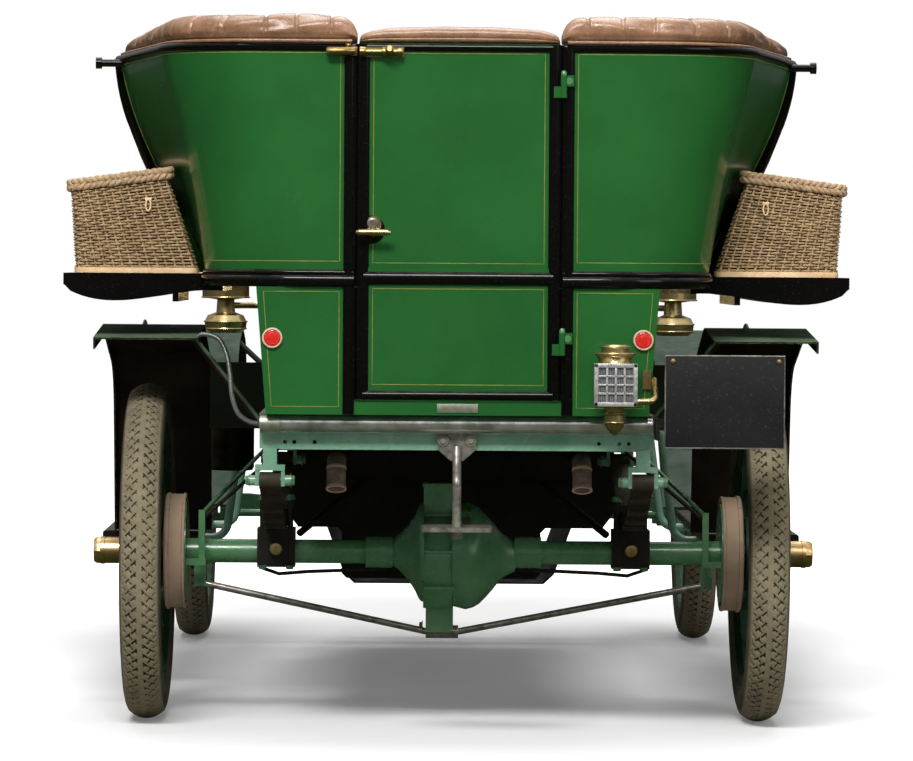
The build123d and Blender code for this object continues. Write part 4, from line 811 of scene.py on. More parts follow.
def plan_line(z, side, step=0.02):
    """Points and outward normals round one tonneau corner, on the CAD surface, at a height."""
    half, corner, front = plan(z)
    flat = [(POST_X + 0.001, FACE_Y, z), (corner, FACE_Y, z), (half, front - 0.003, z)]
    line = spaced(rounded(flat, TONNEAU_CORNER, 14), step)
    points, normals = [], []
    for number, point in enumerate(line):
        normal = outward(heading(line, number))
        place, facing, _, _ = TONNEAU_SURFACE.ray_cast(point + normal * 0.06, -normal)
        if place is None or (place - point).length > 0.007:
            place, facing = point, normal
        if facing.dot(normal) < 0:
            facing = -facing
        points.append(on_side(place, side))
        normals.append(on_side(facing, side))
    return points, normals


TONNEAU_SURFACE = surface_of("tonneau_right")


# Pieces of the body

BEAD_HALF = 0.0115
BEAD_PROUD = 0.008
COACH_LINE = 0.0012
EDGE_BULGE = 0.013
UPPER_LINE = (1.039, 1.484)


def door_post(bead, side, heights, gap_low, low, top):
    """The bead beside the door, and black strips on the gap's faces and the post's edge: painted shade in
    the gap.
    """
    post = [Vector((side * (POST_X + BEAD_HALF + 0.0008), FACE_Y, z)) for z in heights]
    bead.moulding(post, [Vector(BACK)] * len(post), BEAD_HALF, BEAD_PROUD)
    bead.block((side * 0.2152, -0.5745, gap_low), (side * 0.2222, -0.5705, top))
    bead.block((side * 0.2218, -0.6056, low), (side * 0.2256, -0.571, top))


def tonneau_mouldings(side):
    """Black beads along the top, the front edge and the door post, a stud, and a gold line inside."""
    word = WORDS[side]
    bead = Piece(f"beading_{word}", "black_gloss")
    line, normals = plan_line(1.497, side, 0.012)
    bead.moulding([point + normal * 0.0005 for point, normal in zip(line, normals)], normals, 0.0095, 0.007)
    edge, facing = [], []
    for step in range(33):
        share = step / 32
        z = WAIST + 0.002 + (1.498 - WAIST) * share
        around, out = plan_line(z, side, 0.02)
        bulge = EDGE_BULGE * max(0, sin(pi * share)) ** 0.8
        edge.append(around[-1] - Vector((0, 0.010, 0)) + out[-1] * bulge)
        facing.append(out[-1])
    for _ in range(14):
        edge = [edge[0]] + [(a + b * 2 + c) / 4 for a, b, c in zip(edge, edge[1:], edge[2:])] + [edge[-1]]
    bead.moulding(edge, facing, 0.013, 0.0085)
    wide, narrow = Vector((0, 0.012, 0)), Vector((0, 0.010, 0))
    rings = [[point + wide, point - wide, point - narrow - normal * 0.022, point + narrow - normal * 0.022]
             for point, normal in zip(edge, facing)]
    bead.grid(rings, False, True)
    door_post(bead, side, (WAIST, 1.2, 1.35, 1.504), 0.985, 0.985, 1.504)
    stud = Vector((side * (0.775 - 0.020), 0.060, 1.487))
    bead.lathe(((0, 0.0085), (0.052, 0.0085), (0.0525, 0.0128), (0.0660, 0.0132), (0.0665, 0.0105),
                (0.0665, 0)), stud, (side, 0, 0), 32)
    low, out = plan_line(WAIST + 0.004, side, 0.015)
    bead.moulding(low, out, 0.007, 0.006)
    bead.build()

    gold = Piece(f"coach_line_{word}", "gold_line")
    loop = []
    top, _ = plan_line(UPPER_LINE[1], side, 0.012)
    base, _ = plan_line(UPPER_LINE[0], side, 0.012)
    inner = side * (POST_X + 2 * BEAD_HALF + 0.0085)
    loop += [Vector((inner, LINE_Y, UPPER_LINE[0] + (UPPER_LINE[1] - UPPER_LINE[0]) * step / 8))
             for step in range(9)]
    loop += [point for point in top if abs(point.x) > abs(inner)][:-3]
    for step in range(1, 12):
        z = UPPER_LINE[1] + (UPPER_LINE[0] - UPPER_LINE[1]) * step / 12
        around, _ = plan_line(z, side, 0.012)
        loop.append(around[-4])
    loop += [point for point in reversed(base) if abs(point.x) > abs(inner)][3:]
    gold.tube(loop, COACH_LINE, 6, closed=True)
    gold.build()


def frame_line(piece, corners, radius=COACH_LINE):
    """A thin painted line round a flat panel."""
    line = []
    for first, last in zip(corners, corners[1:] + corners[:1]):
        line += [blend_points(first, last, step / 4) for step in range(4)]
    piece.tube(line, radius, 6, closed=True)


def lower_panels():
    """Posts, waist bead and lines of the narrow lower body, with a blank plaque."""
    bead = Piece("lower_beading", "black_gloss")
    for side in (1, -1):
        door_post(bead, side, (0.712, 0.85, 0.985), 0.745, 0.712, 0.984)
        rail, out = plan_line(WAIST + 0.001, side, 0.02)
        rail = [point + normal * 0.0055 - Vector((0, 0, 0.014)) for point, normal in zip(rail, out)]
        bead.moulding(rail, out, 0.012, 0.006)
    bead.build()
    gold = Piece("lower_coach_lines", "gold_line")
    for side in (1, -1):
        frame_line(gold, [(side * 0.2545, LINE_Y, 0.974), (side * 0.4165, LINE_Y, 0.974),
                          (side * 0.3985, LINE_Y, 0.728),
                          (side * 0.2545, LINE_Y, 0.728)])
    gold.build()
    plaque = Piece("blank_plaque", "dull_metal")
    plaque.block((-0.044, -0.6025, 0.7165), (0.044, -0.5995, 0.7355), 0.0008)
    for x in (-0.040, 0.040):
        plaque.rivet((x, -0.6024, 0.726), BACK, 0.0016)
    plaque.build()


def reflectors():
    """Red reflectors with cream rims on the lower panels."""
    rim = Piece("reflector_rims", "cream_rim")
    lens = Piece("reflector_lenses", "red_lens")
    for side in (1, -1):
        place = (side * 0.397, FACE_Y, 0.8745)
        rim.lathe(((-0.001, 0.022), (0.007, 0.022), (0.009, 0.0205), (0.009, 0.0185), (0.005, 0.0178)),
                  place, BACK, 36)
        lens.lathe(((0.004, 0.0182), (0.0065, 0.0178), (0.0085, 0.013), (0.0095, 0.006), (0.0097, 0)),
                   place, BACK, 36)
        for ring in range(1, 4):
            for number in range(6 * ring):
                turn = 2 * pi * number / (6 * ring)
                spot = Vector((cos(turn), 0, sin(turn))) * (0.0046 * ring) - Vector((0, 0.0078, 0))
                lens.rivet(Vector(place) + spot, BACK, 0.0022)
    rim.build()
    lens.build()


def door_dress():
    """Black beads and gold lines on the rear door."""
    bead = Piece("door_beading", "black_gloss", "door")
    outer = 0.2145
    face = -0.6015
    x = outer - BEAD_HALF
    for low, high, start, end, half, proud in (
            (0.745, 1.504, -x, -x, BEAD_HALF, 0.0072), (0.745, 1.504, x, x, BEAD_HALF, 0.0072),
            (0.753, 0.753, -x, x, 0.0105, 0.0085), (1.004, 1.004, -x, x, 0.0145, 0.0095),
            (1.4965, 1.4965, -x, x, 0.0085, 0.0072)):
        line = [blend_points((start, face, low), (end, face, high), step / 6) for step in range(7)]
        bead.moulding(line, [Vector(BACK)] * 7, half, proud)
    # Black strips on the door's edges in the gap: painted shade
    for side in (1, -1):
        bead.block((side * 0.2120, -0.6057, 0.744), (side * 0.2156, -0.573, 1.5045))
    bead.lathe(((-0.003, 0.031), (0.003, 0.030), (0.0035, 0.028), (0.0035, 0)), (-0.188, -0.6, 1.107),
               BACK, 28)
    bead.build()
    gold = Piece("door_coach_lines", "gold_line", "door")
    line_x = outer - 2 * BEAD_HALF - 0.0085
    for low, high in ((1.036, UPPER_LINE[1]), (0.776, 0.981)):
        frame_line(gold, [(-line_x, LINE_Y, low), (line_x, LINE_Y, low), (line_x, LINE_Y, high),
                          (-line_x, LINE_Y, high)])
    gold.build()
    hinge = Piece("door_hinge_pins", "green_chassis")
    for z in (0.865, 1.415):
        hinge.lathe(((0, 0.0062), (0.006, 0.0062), (0.010, 0.0035), (0.010, 0)),
                    (POST_X, -0.612, z + 0.0240), UP, 16)
        hinge.lathe(((0, 0.0075), (0.0008, 0.0075), (0.0008, 0)), (POST_X + 0.012, -0.614, z + 0.012),
                    BACK, 12)
    hinge.build()


def latch():
    """The keeper on the left corner and the turned parts of the bolt and handle."""
    keeper = Piece("latch_keeper", "brass")
    keeper.block((-0.282, -0.6155, 1.4765), (-0.2185, -0.6085, 1.4965), 0.002)
    keeper.lathe(((0, 0), (0, 0.0075), (0.004, 0.010), (0.052, 0.010), (0.056, 0.007), (0.060, 0.007),
                  (0.062, 0)), (-0.285, -0.618, 1.4865), RIGHT, 24)
    keeper.rivet((-0.238, -0.6155, 1.499), BACK, 0.005)
    keeper.block((-0.244, -0.614, 1.4965), (-0.232, -0.607, 1.505), 0.0015)
    keeper.build()
    bolt = Piece("latch_bolt", "brass", "door")
    for start, end, radius in ((-0.214, -0.200, 0.0105), (-0.166, -0.154, 0.0105),
                               (-0.134, -0.122, 0.0092)):
        bolt.lathe(((0, 0.006), (0, radius), (0.002, radius + 0.0008),
                    (end - start - 0.002, radius + 0.0008), (end - start, radius),
                    (end - start, 0.006)), (start, -0.6145, 1.486), RIGHT, 24)
    for x in (-0.207, -0.126):
        for z in (1.4795, 1.4925):
            bolt.rivet((x, -0.6092, z), BACK, 0.0026)
    bolt.build()
    rose = Piece("handle_rose", "worn_steel", "door")
    rose.lathe(((0, 0.0118), (0.0015, 0.0118), (0.003, 0.0100), (0.0035, 0.0065), (0.002, 0.006),
                (0.002, 0)), (-0.184, -0.6053, 1.1215),
               BACK, 32)
    rose.block((-0.1862, -0.6092, 1.117), (-0.1818, -0.606, 1.127), 0.001)
    rose.build()


# Leather

ROLL_BASE = 1.5055
COLUMNS = 220


def corner_roll(side):
    """The stuffed roll on one tonneau corner: puffed between sewn seams, with a flat welt below."""
    word = WORDS[side]
    piece = Piece(f"leather_roll_{word}", "brown_leather")
    interval = 0.0028
    corners = ((0.2188, -0.570, ROLL_BASE), (0.560, -0.570, ROLL_BASE), (0.724, 0.118, ROLL_BASE))
    line = spaced(rounded(corners, 0.180, 16), interval)
    total = interval * (len(line) - 1)
    pitch = 0.072
    seams = [0.055 + pitch * number + 0.004 * sin(number * 2.3) for number in range(int(total / pitch) - 1)]
    around = 44
    half, high = 0.0445, 0.0605
    welt_top = 0.24
    wander = random.Random(11 if side > 0 else 12)
    waves = [(wander.uniform(18, 60), wander.uniform(0, 6), wander.uniform(1, 5)) for _ in range(6)]
    rings = []
    for number, point in enumerate(line):
        out = outward(heading(line, number))
        reach = total * number / (len(line) - 1)
        near = min(seams, key=lambda seam: abs(reach - seam))
        share = reach / total
        thin = 1 - 0.44 * max(0, (share - 0.42) / 0.58) ** 1.2
        sewn = 0.062 * crease(reach - near, 0.0026) + 0.034 * crease(reach - near, 0.013)
        sewn -= 0.030 * crease(reach - near - 0.006, 0.0026)
        ends = min(reach / 0.046, (total - reach) / 0.060, 1.0)
        close = sqrt(max(0.03, 1 - (1 - ends) ** 2))
        ring = []
        for step in range(around):
            turn = 2 * pi * step / around
            c, s = cos(turn), sin(turn)
            across = half * swelled(c, 0.86)
            up = 0.5 + 0.5 * swelled(s, 0.86)
            puffed = min(1, max(0, (up - welt_top) / 0.14))
            scale = 1 + sewn * puffed
            ripple = sum(sin(reach * rate + phase + turn * spin) for rate, phase, spin in waves)
            lumps = 0.0006 * ripple * puffed
            belt = 0.0035 * -crease(up - 0.25, 0.045)
            width = across * (0.80 + 0.20 * close) * scale * (0.75 + 0.25 * thin)
            width += (lumps - belt) * c
            rise = high * up * thin * scale * (0.22 + 0.78 * close if up > welt_top else 1)
            spot = point + out * width + Vector((0, 0, rise + lumps * up))
            ring.append(on_side(spot, side))
        rings.append(ring)
    piece.solid(rings)
    welt = []
    for number in range(4, len(line) - 4, 4):
        spot = line[number] + outward(heading(line, number)) * (half + 0.001)
        welt.append(Vector((spot.x * side, spot.y, ROLL_BASE + 0.0035)))
    piece.tube(welt, 0.0035, 8)
    return piece.build(60, replaces=("tonneau_trim",))


def door_roll():
    """The flatter roll on the door."""
    piece = Piece("leather_roll_door", "brown_leather", "door")
    half_x, y_mid, half_y, high = 0.2145, -0.575, 0.0385, 0.036
    rows = []
    columns, sides = 120, 40
    for number in range(columns + 1):
        along = -1 + 2 * number / columns
        close = dome(along, 7, 0.42)
        arch = 0.80 + 0.20 * (1 - along * along)
        row = []
        for step in range(sides):
            turn = 2 * pi * step / sides
            c, s = cos(turn), sin(turn)
            y = half_y * swelled(c, 0.7) * (0.55 + 0.45 * close)
            up = 0.5 + 0.5 * swelled(s, 0.75)
            lumps = 0.0005 * sin(along * 13 + turn * 2)
            pinch = 1 + 0.10 * crease(up - 0.30, 0.07) * (1 if c < 0 else 0.3)
            rise = high * up * arch * (0.25 + 0.75 * close) + lumps * up
            row.append(Vector((along * half_x, y_mid + y * pinch, ROLL_BASE + 0.0005 + rise)))
        rows.append(row)
    piece.solid(rows)
    pleat_panel(piece, [Vector((x, -0.5745, 0)) for x in (-0.198, 0.198)], 1.112, 1.500, 0.030, 0.066,
                Vector(AHEAD))
    return piece.build(60, replaces=("door_trim",))


def pleat_panel(piece, line, low, high, depth, pitch, inward=None, lean=None):
    """Upright stuffed flutes on a wall: line is the wall's run, depth how far they stand out from it."""
    interval = 0.006
    line = spaced(line, interval)
    total = interval * (len(line) - 1)
    flutes = max(1, round(total / pitch))
    steps = 26
    rows = []
    for number, point in enumerate(line):
        out = inward or -outward(heading(line, number))
        share = number / (len(line) - 1)
        puff = abs(sin(pi * flutes * share)) ** 0.5
        back, front = [], []
        for step in range(steps + 1):
            up = step / steps
            spot = Vector((point.x, point.y, low + (high - low) * up))
            if lean:
                spot += lean(up)
            back.append(spot)
            front.append(spot + out * (depth * dome(2 * up - 1, 8, 0.5) * (0.55 + 0.45 * puff)))
        rows.append(front + back[::-1])
    piece.solid(rows)


def corner_lining(side):
    """Fluted leather inside one tonneau corner, following its flare."""
    word = WORDS[side]
    piece = Piece(f"leather_lining_{word}", "brown_leather")
    rows = []
    levels = 22
    lines = []
    for level in range(levels + 1):
        z = 1.124 + (1.503 - 1.124) * level / levels
        half, corner, front = plan(z)
        inset = 0.027
        path = rounded([(POST_X + 0.007, FACE_Y + inset, z), (corner - inset, FACE_Y + inset, z),
                        (half - inset, front - 0.004, z)],
                       TONNEAU_CORNER - inset, 14)
        even = spaced(path, 0.004)
        lines.append([even[round(number * (len(even) - 1) / COLUMNS)] for number in range(COLUMNS + 1)])
    flutes = 15
    for number in range(COLUMNS + 1):
        share = number / COLUMNS
        puff = abs(sin(pi * flutes * share)) ** 0.45
        row = []
        for level in range(levels + 1):
            inner = -outward(heading(lines[level], number))
            close = dome(2 * level / levels - 1, 7, 0.45)
            ends = min(1, (share + 0.004) / 0.03, (1.004 - share) / 0.03)
            depth = 0.012 + 0.046 * close * (0.6 + 0.4 * puff) * ends ** 0.5
            row.append(on_side(lines[level][number] + inner * depth, side))
        row += [on_side(line[number], side) for line in reversed(lines)]
        rows.append(row)
    piece.solid(rows)
    return piece.build(60, replaces=("seat_backs",))


def cushion(piece, low, high, pleats=7, along=0):
    """A sewn seat cushion: rounded edges, shallow pleats across the top and piping round it."""
    low, high = Vector(low), Vector(high)
    middle, half = (low + high) / 2, (high - low) / 2
    count = 64
    rows = []
    for i in range(count + 1):
        u = -1 + 2 * i / count
        row = []
        for j in range(count + 1):
            v = -1 + 2 * j / count
            edge = dome(u, 8, 0.35) * dome(v, 8, 0.35)
            run = (u if along == 0 else v) * pleats / 2
            groove = abs(sin(pi * run)) ** 0.4
            crown = 1 - 0.18 * (u * u + v * v) / 2
            top = half.z * (-1 + 2 * (0.35 + 0.65 * edge * crown * (0.86 + 0.14 * groove)))
            drawn = 1 - 0.03 * (1 - edge)
            row.append(middle + Vector((half.x * u * drawn, half.y * v * drawn, top)))
        rows.append(row)
    piece.grid(rows)
    corners = ((-0.97, -0.97), (0.97, -0.97), (0.97, 0.97), (-0.97, 0.97))
    piece.cap([middle + Vector((half.x * u, half.y * v, -half.z)) for u, v in corners])
    rim = ([rows[i][0] for i in range(count + 1)] + [rows[count][j] for j in range(1, count + 1)]
           + [rows[i][count] for i in range(count - 1, -1, -1)]
           + [rows[0][j] for j in range(count - 1, 0, -1)])
    foot = [Vector((point.x, point.y, low.z)) for point in rim]
    piece.grid([rim, foot], False, True)
    piece.tube([point + Vector((0, 0, 0.001)) for point in rim][::2], 0.0045, 7, closed=True)


def seats():
    """Cushions and pads of both rows."""
    for side, word in WORDS.items():
        piece = Piece(f"rear_cushion_{word}", "brown_leather")
        xs = sorted((side * (POST_X + 0.004), side * 0.452))
        cushion(piece, (xs[0], -0.500, 1.0155), (xs[1], 0.070, 1.112), 6, 1)
        piece.build(60, replaces=("rear_cushions",))
    seat = Piece("front_seat_leather", "brown_leather")
    base = 0.9996
    cushion(seat, (-0.405, 0.425, base), (0.405, 0.830, base + 0.120), 10, 0)
    pleat_panel(seat, [Vector((0.398, 0.372, 0)), Vector((-0.398, 0.372, 0))], base + 0.124, 1.440, 0.062,
                0.072,
                Vector(AHEAD), lambda up: Vector((0, -0.030 * up, 0)))
    seat.build(60, replaces=("front_trim",))


# Wicker

BASKET_REAR_Y = -0.300
BASKET_FRONT_Y = 0.200
BASKET_LOW = 1.0225
BASKET_INNER_TOP = 1.2175
BASKET_OUTER_TOP = 1.1885
STAKES = 74
ROWS = 29


def basket_ring(share, side, inset=0.0):
    """One level of a basket's outer face as a loop, from the base (0) to the sloping top (1)."""
    def place(base, top, y):
        return blend_points((base[0], y, base[1]), (top[0], y, top[1]), share)
    rear, front, outer = BASKET_REAR_Y + inset, BASKET_FRONT_Y - inset, (0.8435 - inset, BASKET_LOW)
    outer_top = (0.854 - inset, BASKET_OUTER_TOP)
    corners = [place((0.567 + inset, BASKET_LOW), (0.630 + inset, BASKET_INNER_TOP), rear),
               place(outer, outer_top, rear),
               place(outer, outer_top, front),
               place((0.593 + inset, BASKET_LOW), (0.712 + inset, BASKET_INNER_TOP), front)]
    return [on_side(point, side) for point in eased_loop(corners, 0.022)]


def basket(side):
    """Woven walls: stakes with rods passing in front of and behind them, on a pale wooden base strip."""
    word = WORDS[side]
    weave = Piece(f"wicker_basket_{word}", "wicker")
    wander = random.Random(31 if side > 0 else 32)
    count = STAKES * 4
    inset = 0.0064
    for row in range(ROWS):
        share = (row + 0.5) / ROWS
        loop = spaced(basket_ring(share, side, inset), count=count, closed=True)
        line = []
        sag = wander.uniform(-0.0006, 0.0006)
        for number, point in enumerate(loop):
            out = outward(heading(loop, number, True)) * side
            swing = cos(pi * number / 4) * (1 if row % 2 else -1)
            jitter = wander.uniform(-0.0004, 0.0004)
            line.append(point + out * (0.0035 * swing + jitter)
                        + Vector((0, 0, sag + wander.uniform(-0.0003, 0.0003))))
        weave.tube(line, 0.0026 + wander.uniform(-0.0002, 0.0003), 6, closed=True)
    base = spaced(basket_ring(0, side, inset), count=count, closed=True)
    top = spaced(basket_ring(1, side, inset), count=count, closed=True)
    for stake in range(STAKES):
        number = stake * 4
        weave.tube([base[number], top[number]], 0.0029, 6)
    weave.build(80, replaces=(f"basket_{word}",))

    liner = Piece(f"basket_lining_{word}", "wicker_dark")
    outer_low, outer_top = basket_ring(0, side, 0.0112), basket_ring(0.985, side, 0.0112)
    inner_low, inner_top = basket_ring(0.02, side, 0.0119), basket_ring(0.985, side, 0.0119)
    liner.grid([outer_low, outer_top, inner_top, inner_low], False, True)
    liner.cap(inner_low)
    liner.build()

    strip = Piece(f"basket_base_{word}", "pale_wood")
    loop = basket_ring(0, side, 0.0)
    within = basket_ring(0, side, 0.012)
    under, under_within = ([Vector((point.x, point.y, WAIST + 0.0006)) for point in ring]
                           for ring in (loop, within))
    strip.grid([under, loop, within, under_within], True, True)
    strip.cap(under_within)
    strip.build(30)

    board = Piece(f"shelf_board_{word}", "green_paint")
    outline = ((0.571, 1.0115), (0.632, 1.140), (0.655, 1.186), (0.760, 1.180), (0.760, 1.0115))
    faces = [[Vector((side * x, y, z)) for x, z in outline] for y in (0.2020, 0.2045)]
    board.solid(faces).build(30)

    hasp = Piece(f"basket_loop_{word}", "pale_wood")
    centre = Vector((side * 0.680, BASKET_REAR_Y - 0.003, 1.160))
    loop = [centre + Vector((0.0055 * cos(2 * pi * i / 20), -0.0015, 0.0125 * sin(2 * pi * i / 20)))
            for i in range(20)]
    hasp.tube(loop, 0.0019, 6, closed=True)
    hasp.block(centre + Vector((-0.0075, -0.003, 0.010)), centre + Vector((0.0075, 0.002, 0.0165)), 0.001)
    hasp.build()


def lid_corners(side, rise, inset=0.0):
    """The lid's four corners at its underside plus a rise."""
    def height(x, y):
        inner = 0.620 if y < 0 else 0.706
        share = (abs(x) - inner) / (0.862 - inner)
        return 1.2208 + (1.1885 - 1.2208) * share + rise
    corners = [(0.620 + inset, BASKET_REAR_Y - 0.006 + inset),
               (0.862 - inset, BASKET_REAR_Y - 0.006 + inset),
               (0.862 - inset, BASKET_FRONT_Y + 0.006 - inset),
               (0.706 + inset, BASKET_FRONT_Y + 0.006 - inset)]
    return [Vector((x * side, y, height(x, y))) for x, y in corners]


def braid(piece, loop, outs, height, depth, period, radius, strands=4):
    """A flat plait round a loop: each strand wanders up and down and passes over its neighbours."""
    count = len(loop)
    total = sum((loop[(i + 1) % count] - loop[i]).length for i in range(count))
    turns = max(1, round(total / period))
    for strand in range(strands):
        line = []
        for number in range(count):
            phase = 2 * pi * (turns * number / count + strand / strands)
            rise = Vector((0, 0, height * sin(phase)))
            line.append(loop[number] + rise + outs[number] * (depth * sin(2 * phase)))
        piece.tube(line, radius, 8, closed=True, flat=0.8)


def lid(side):
    """A woven lid with a thick plaited edge."""
    word = WORDS[side]
    body = f"lid_{word}"
    wander = random.Random(41 if side > 0 else 42)
    piece = Piece(f"wicker_lid_{word}", "wicker_braid", body)
    loop = spaced(eased_loop(lid_corners(side, 0.0125, 0.0080), 0.026), count=420, closed=True)
    outs = [outward(heading(loop, number, True)) * side for number in range(len(loop))]
    braid(piece, loop, outs, 0.0086, 0.0034, 0.056, 0.0062)
    piece.build(80, replaces=(f"lid_{word}",))

    top = Piece(f"lid_weave_{word}", "wicker", body)
    rear_in, rear_out, front_out, front_in = lid_corners(side, 0.0150, 0.013)
    hinge_margin = 0.060
    rear_in, front_in = rear_in.lerp(rear_out, hinge_margin), front_in.lerp(front_out, hinge_margin * 1.6)
    rows, ribs = 34, 20
    for row in range(rows):
        share = (row + 0.5) / rows
        start, end = rear_in.lerp(rear_out, share), front_in.lerp(front_out, share)
        line = []
        for number in range(ribs * 4 + 1):
            swing = sin(pi * number / 4 + pi / 2) * (1 if row % 2 else -1)
            crown = 0.003 * (1 - (2 * share - 1) ** 2)
            line.append(start.lerp(end, number / (ribs * 4))
                        + Vector((0, 0, 0.0024 * swing + crown + wander.uniform(-0.0003, 0.0003))))
        top.tube(line, 0.0033, 6)
    for rib in range(ribs + 1):
        share = rib / ribs
        top.tube([rear_in.lerp(front_in, share), rear_out.lerp(front_out, share)], 0.0022, 5)
    top.build(80)
    under = Piece(f"lid_board_{word}", "wicker_dark", body)
    low, high = lid_corners(side, 0.0005, 0.010), lid_corners(side, 0.0120, 0.010)
    under.solid([low, high]).build()


# Wheels

TREAD_HALF = 0.039
TREAD_EDGE = 0.363
TYRE_RADIUS = 0.380


def arc_through(first, middle, last, steps):
    """Points on the circle through three flat points."""
    (ax, ay), (bx, by), (cx, cy) = first, middle, last
    d = 2 * (ax * (by - cy) + bx * (cy - ay) + cx * (ay - by))
    ux = ((ax * ax + ay * ay) * (by - cy) + (bx * bx + by * by) * (cy - ay)
          + (cx * cx + cy * cy) * (ay - by)) / d
    uy = ((ax * ax + ay * ay) * (cx - bx) + (bx * bx + by * by) * (ax - cx)
          + (cx * cx + cy * cy) * (bx - ax)) / d
    radius = sqrt((ax - ux) ** 2 + (ay - uy) ** 2)
    start, mid, end = (atan2(y - uy, x - ux) for x, y in (first, middle, last))
    while mid < start:
        mid += 2 * pi
    while end < start:
        end += 2 * pi
    if mid > end:
        end -= 2 * pi
    turns = [start + (end - start) * i / steps for i in range(steps + 1)]
    return [(ux + radius * cos(turn), uy + radius * sin(turn)) for turn in turns]


def tyre(place, side, seed):
    """A tyre with diagonal cuts on both halves of its tread, worn unevenly."""
    word = WORDS[side]
    wall = arc_through((0.038, 0.303), (0.046, 0.335), (TREAD_HALF, TREAD_EDGE), 9)
    crown = arc_through((TREAD_HALF, TREAD_EDGE), (0, TYRE_RADIUS), (-TREAD_HALF, TREAD_EDGE), 36)
    profile = [(0.034, 0.2885), (0.034, 0.299)] + wall + crown[1:-1]
    profile += [(-x, r) for x, r in reversed(wall)] + [(-0.034, 0.299), (-0.034, 0.2885)]
    across = np.array(profile)
    steps = 800 if place == "rear" else 560
    turn = np.linspace(0, 2 * pi, steps, endpoint=False)[:, None]
    x = np.broadcast_to(across[:, 0], (steps, len(profile))).copy()
    radius = np.broadcast_to(across[:, 1], (steps, len(profile))).copy()
    pitch = 2 * pi / 90
    tread = np.clip((radius - 0.3645) / 0.002, 0, 1)
    half = np.clip((np.abs(x) - 0.0065) / 0.0275, 0, 1)
    inside = tread * (np.abs(x) > 0.0065) * (np.abs(x) < 0.0360)
    shift = np.where(x > 0, 0.5, 0.0)
    run = turn / pitch + shift
    zig = half * 1.05
    first = np.abs((run + zig) % 1 - 0.5)
    second = np.abs((run - zig * 0.9 + 0.30) % 1 - 0.5)
    cut_one = np.clip(1.6 - first / 0.064, 0, 1) * ((half * 2.0) % 1.0 < 0.80)
    cut_two = np.clip(1.6 - second / 0.058, 0, 1) * ((half * 2.0 + 0.35) % 1.0 < 0.66)
    groove = np.maximum(cut_one, cut_two) ** 0.7 * inside
    wear = 0.0006 * np.sin(turn * 3 + seed) + 0.0005 * np.sin(turn * 7 + seed * 2 + x * 60)
    rough = np.random.default_rng(seed).normal(0, 0.00022, x.shape)
    radius = radius - 0.0034 * groove - (np.abs(wear) + np.abs(rough)) * tread
    centre = np.array([side * WHEEL_X, WHEELBASE if place == "front" else 0.0, AXLE_Z])
    points = np.stack([x, radius * np.sin(turn), radius * np.cos(turn)], axis=-1)
    piece = Piece(f"tyre_rubber_{place}_{word}", "tyre_rubber", f"wheel_{place}_{word}")
    width = len(profile)
    piece.points = [tuple(point) for point in points.reshape(-1, 3)]
    index = np.arange(steps * width).reshape(steps, width)
    after = np.roll(index, -1, axis=0)
    faces = np.stack([index, np.roll(index, -1, axis=1), np.roll(after, -1, axis=1), after], axis=-1)
    piece.faces = [tuple(face) for face in faces.reshape(-1, 4).tolist()]
    piece.build(50, replaces=(f"tyre_{place}_{word}",), centre=centre)


def wheel_dress(place, side):
    """Brass hub cap, flange bolts, rivets and, at the rear, the brown drum."""
    word = WORDS[side]
    y = WHEELBASE if place == "front" else 0.0
    centre = Vector((side * WHEEL_X, y, AXLE_Z))
    out = Vector((side, 0, 0))
    body = f"wheel_{place}_{word}"
    cap = Piece(f"hub_cap_{place}_{word}", "hub_brass", body)
    cap.lathe(((0.051, 0.0405), (0.0605, 0.0310), (0.061, 0.0300), (0.098, 0.0300), (0.099, 0.0314),
               (0.1075, 0.0314), (0.1080, 0.0300), (0.1160, 0.0300), (0.1226, 0.0262), (0.1228, 0)),
              centre, out, 48)
    rows = []
    for along, size in ((0.1078, 0.0332), (0.1150, 0.0332), (0.1205, 0.0300), (0.1229, 0.0262),
                        (0.1231, 1e-5)):
        rows.append(circle(centre + out * along, Vector(AHEAD), Vector(UP), size, 6))
    cap.grid(rows, False, True)
    cap.build(30)
    bolts = Piece(f"hub_bolts_{place}_{word}", "green_chassis", body)
    for turn, way in spokes(12):
        for face in (out, -out):
            if face is out or place == "front":
                bolts.bolt(centre + way * 0.070 + face * 0.032, face, 0.0062, 0.007, turn)
            bolts.rivet(centre + way * 0.262 + face * 0.0238, face, 0.0045)
    bolts.build(30)
    if place == "rear":
        drum = Piece(f"drum_{word}", "drum_brown", body)
        drum.lathe(((-0.0862, 0.1195), (-0.0866, 0.1300), (-0.0815, 0.1312), (-0.0795, 0.1290),
                    (-0.052, 0.1290), (-0.0505, 0.1316), (-0.0438, 0.1316), (-0.0405, 0.1270),
                    (-0.0403, 0.060)), centre, out, 96)
        for turn, way in spokes(8, 0.25):
            drum.bolt(centre + way * 0.1312 - out * 0.0472, way, 0.0030, 0.0022, turn)
        drum.build(30)


# Chassis details

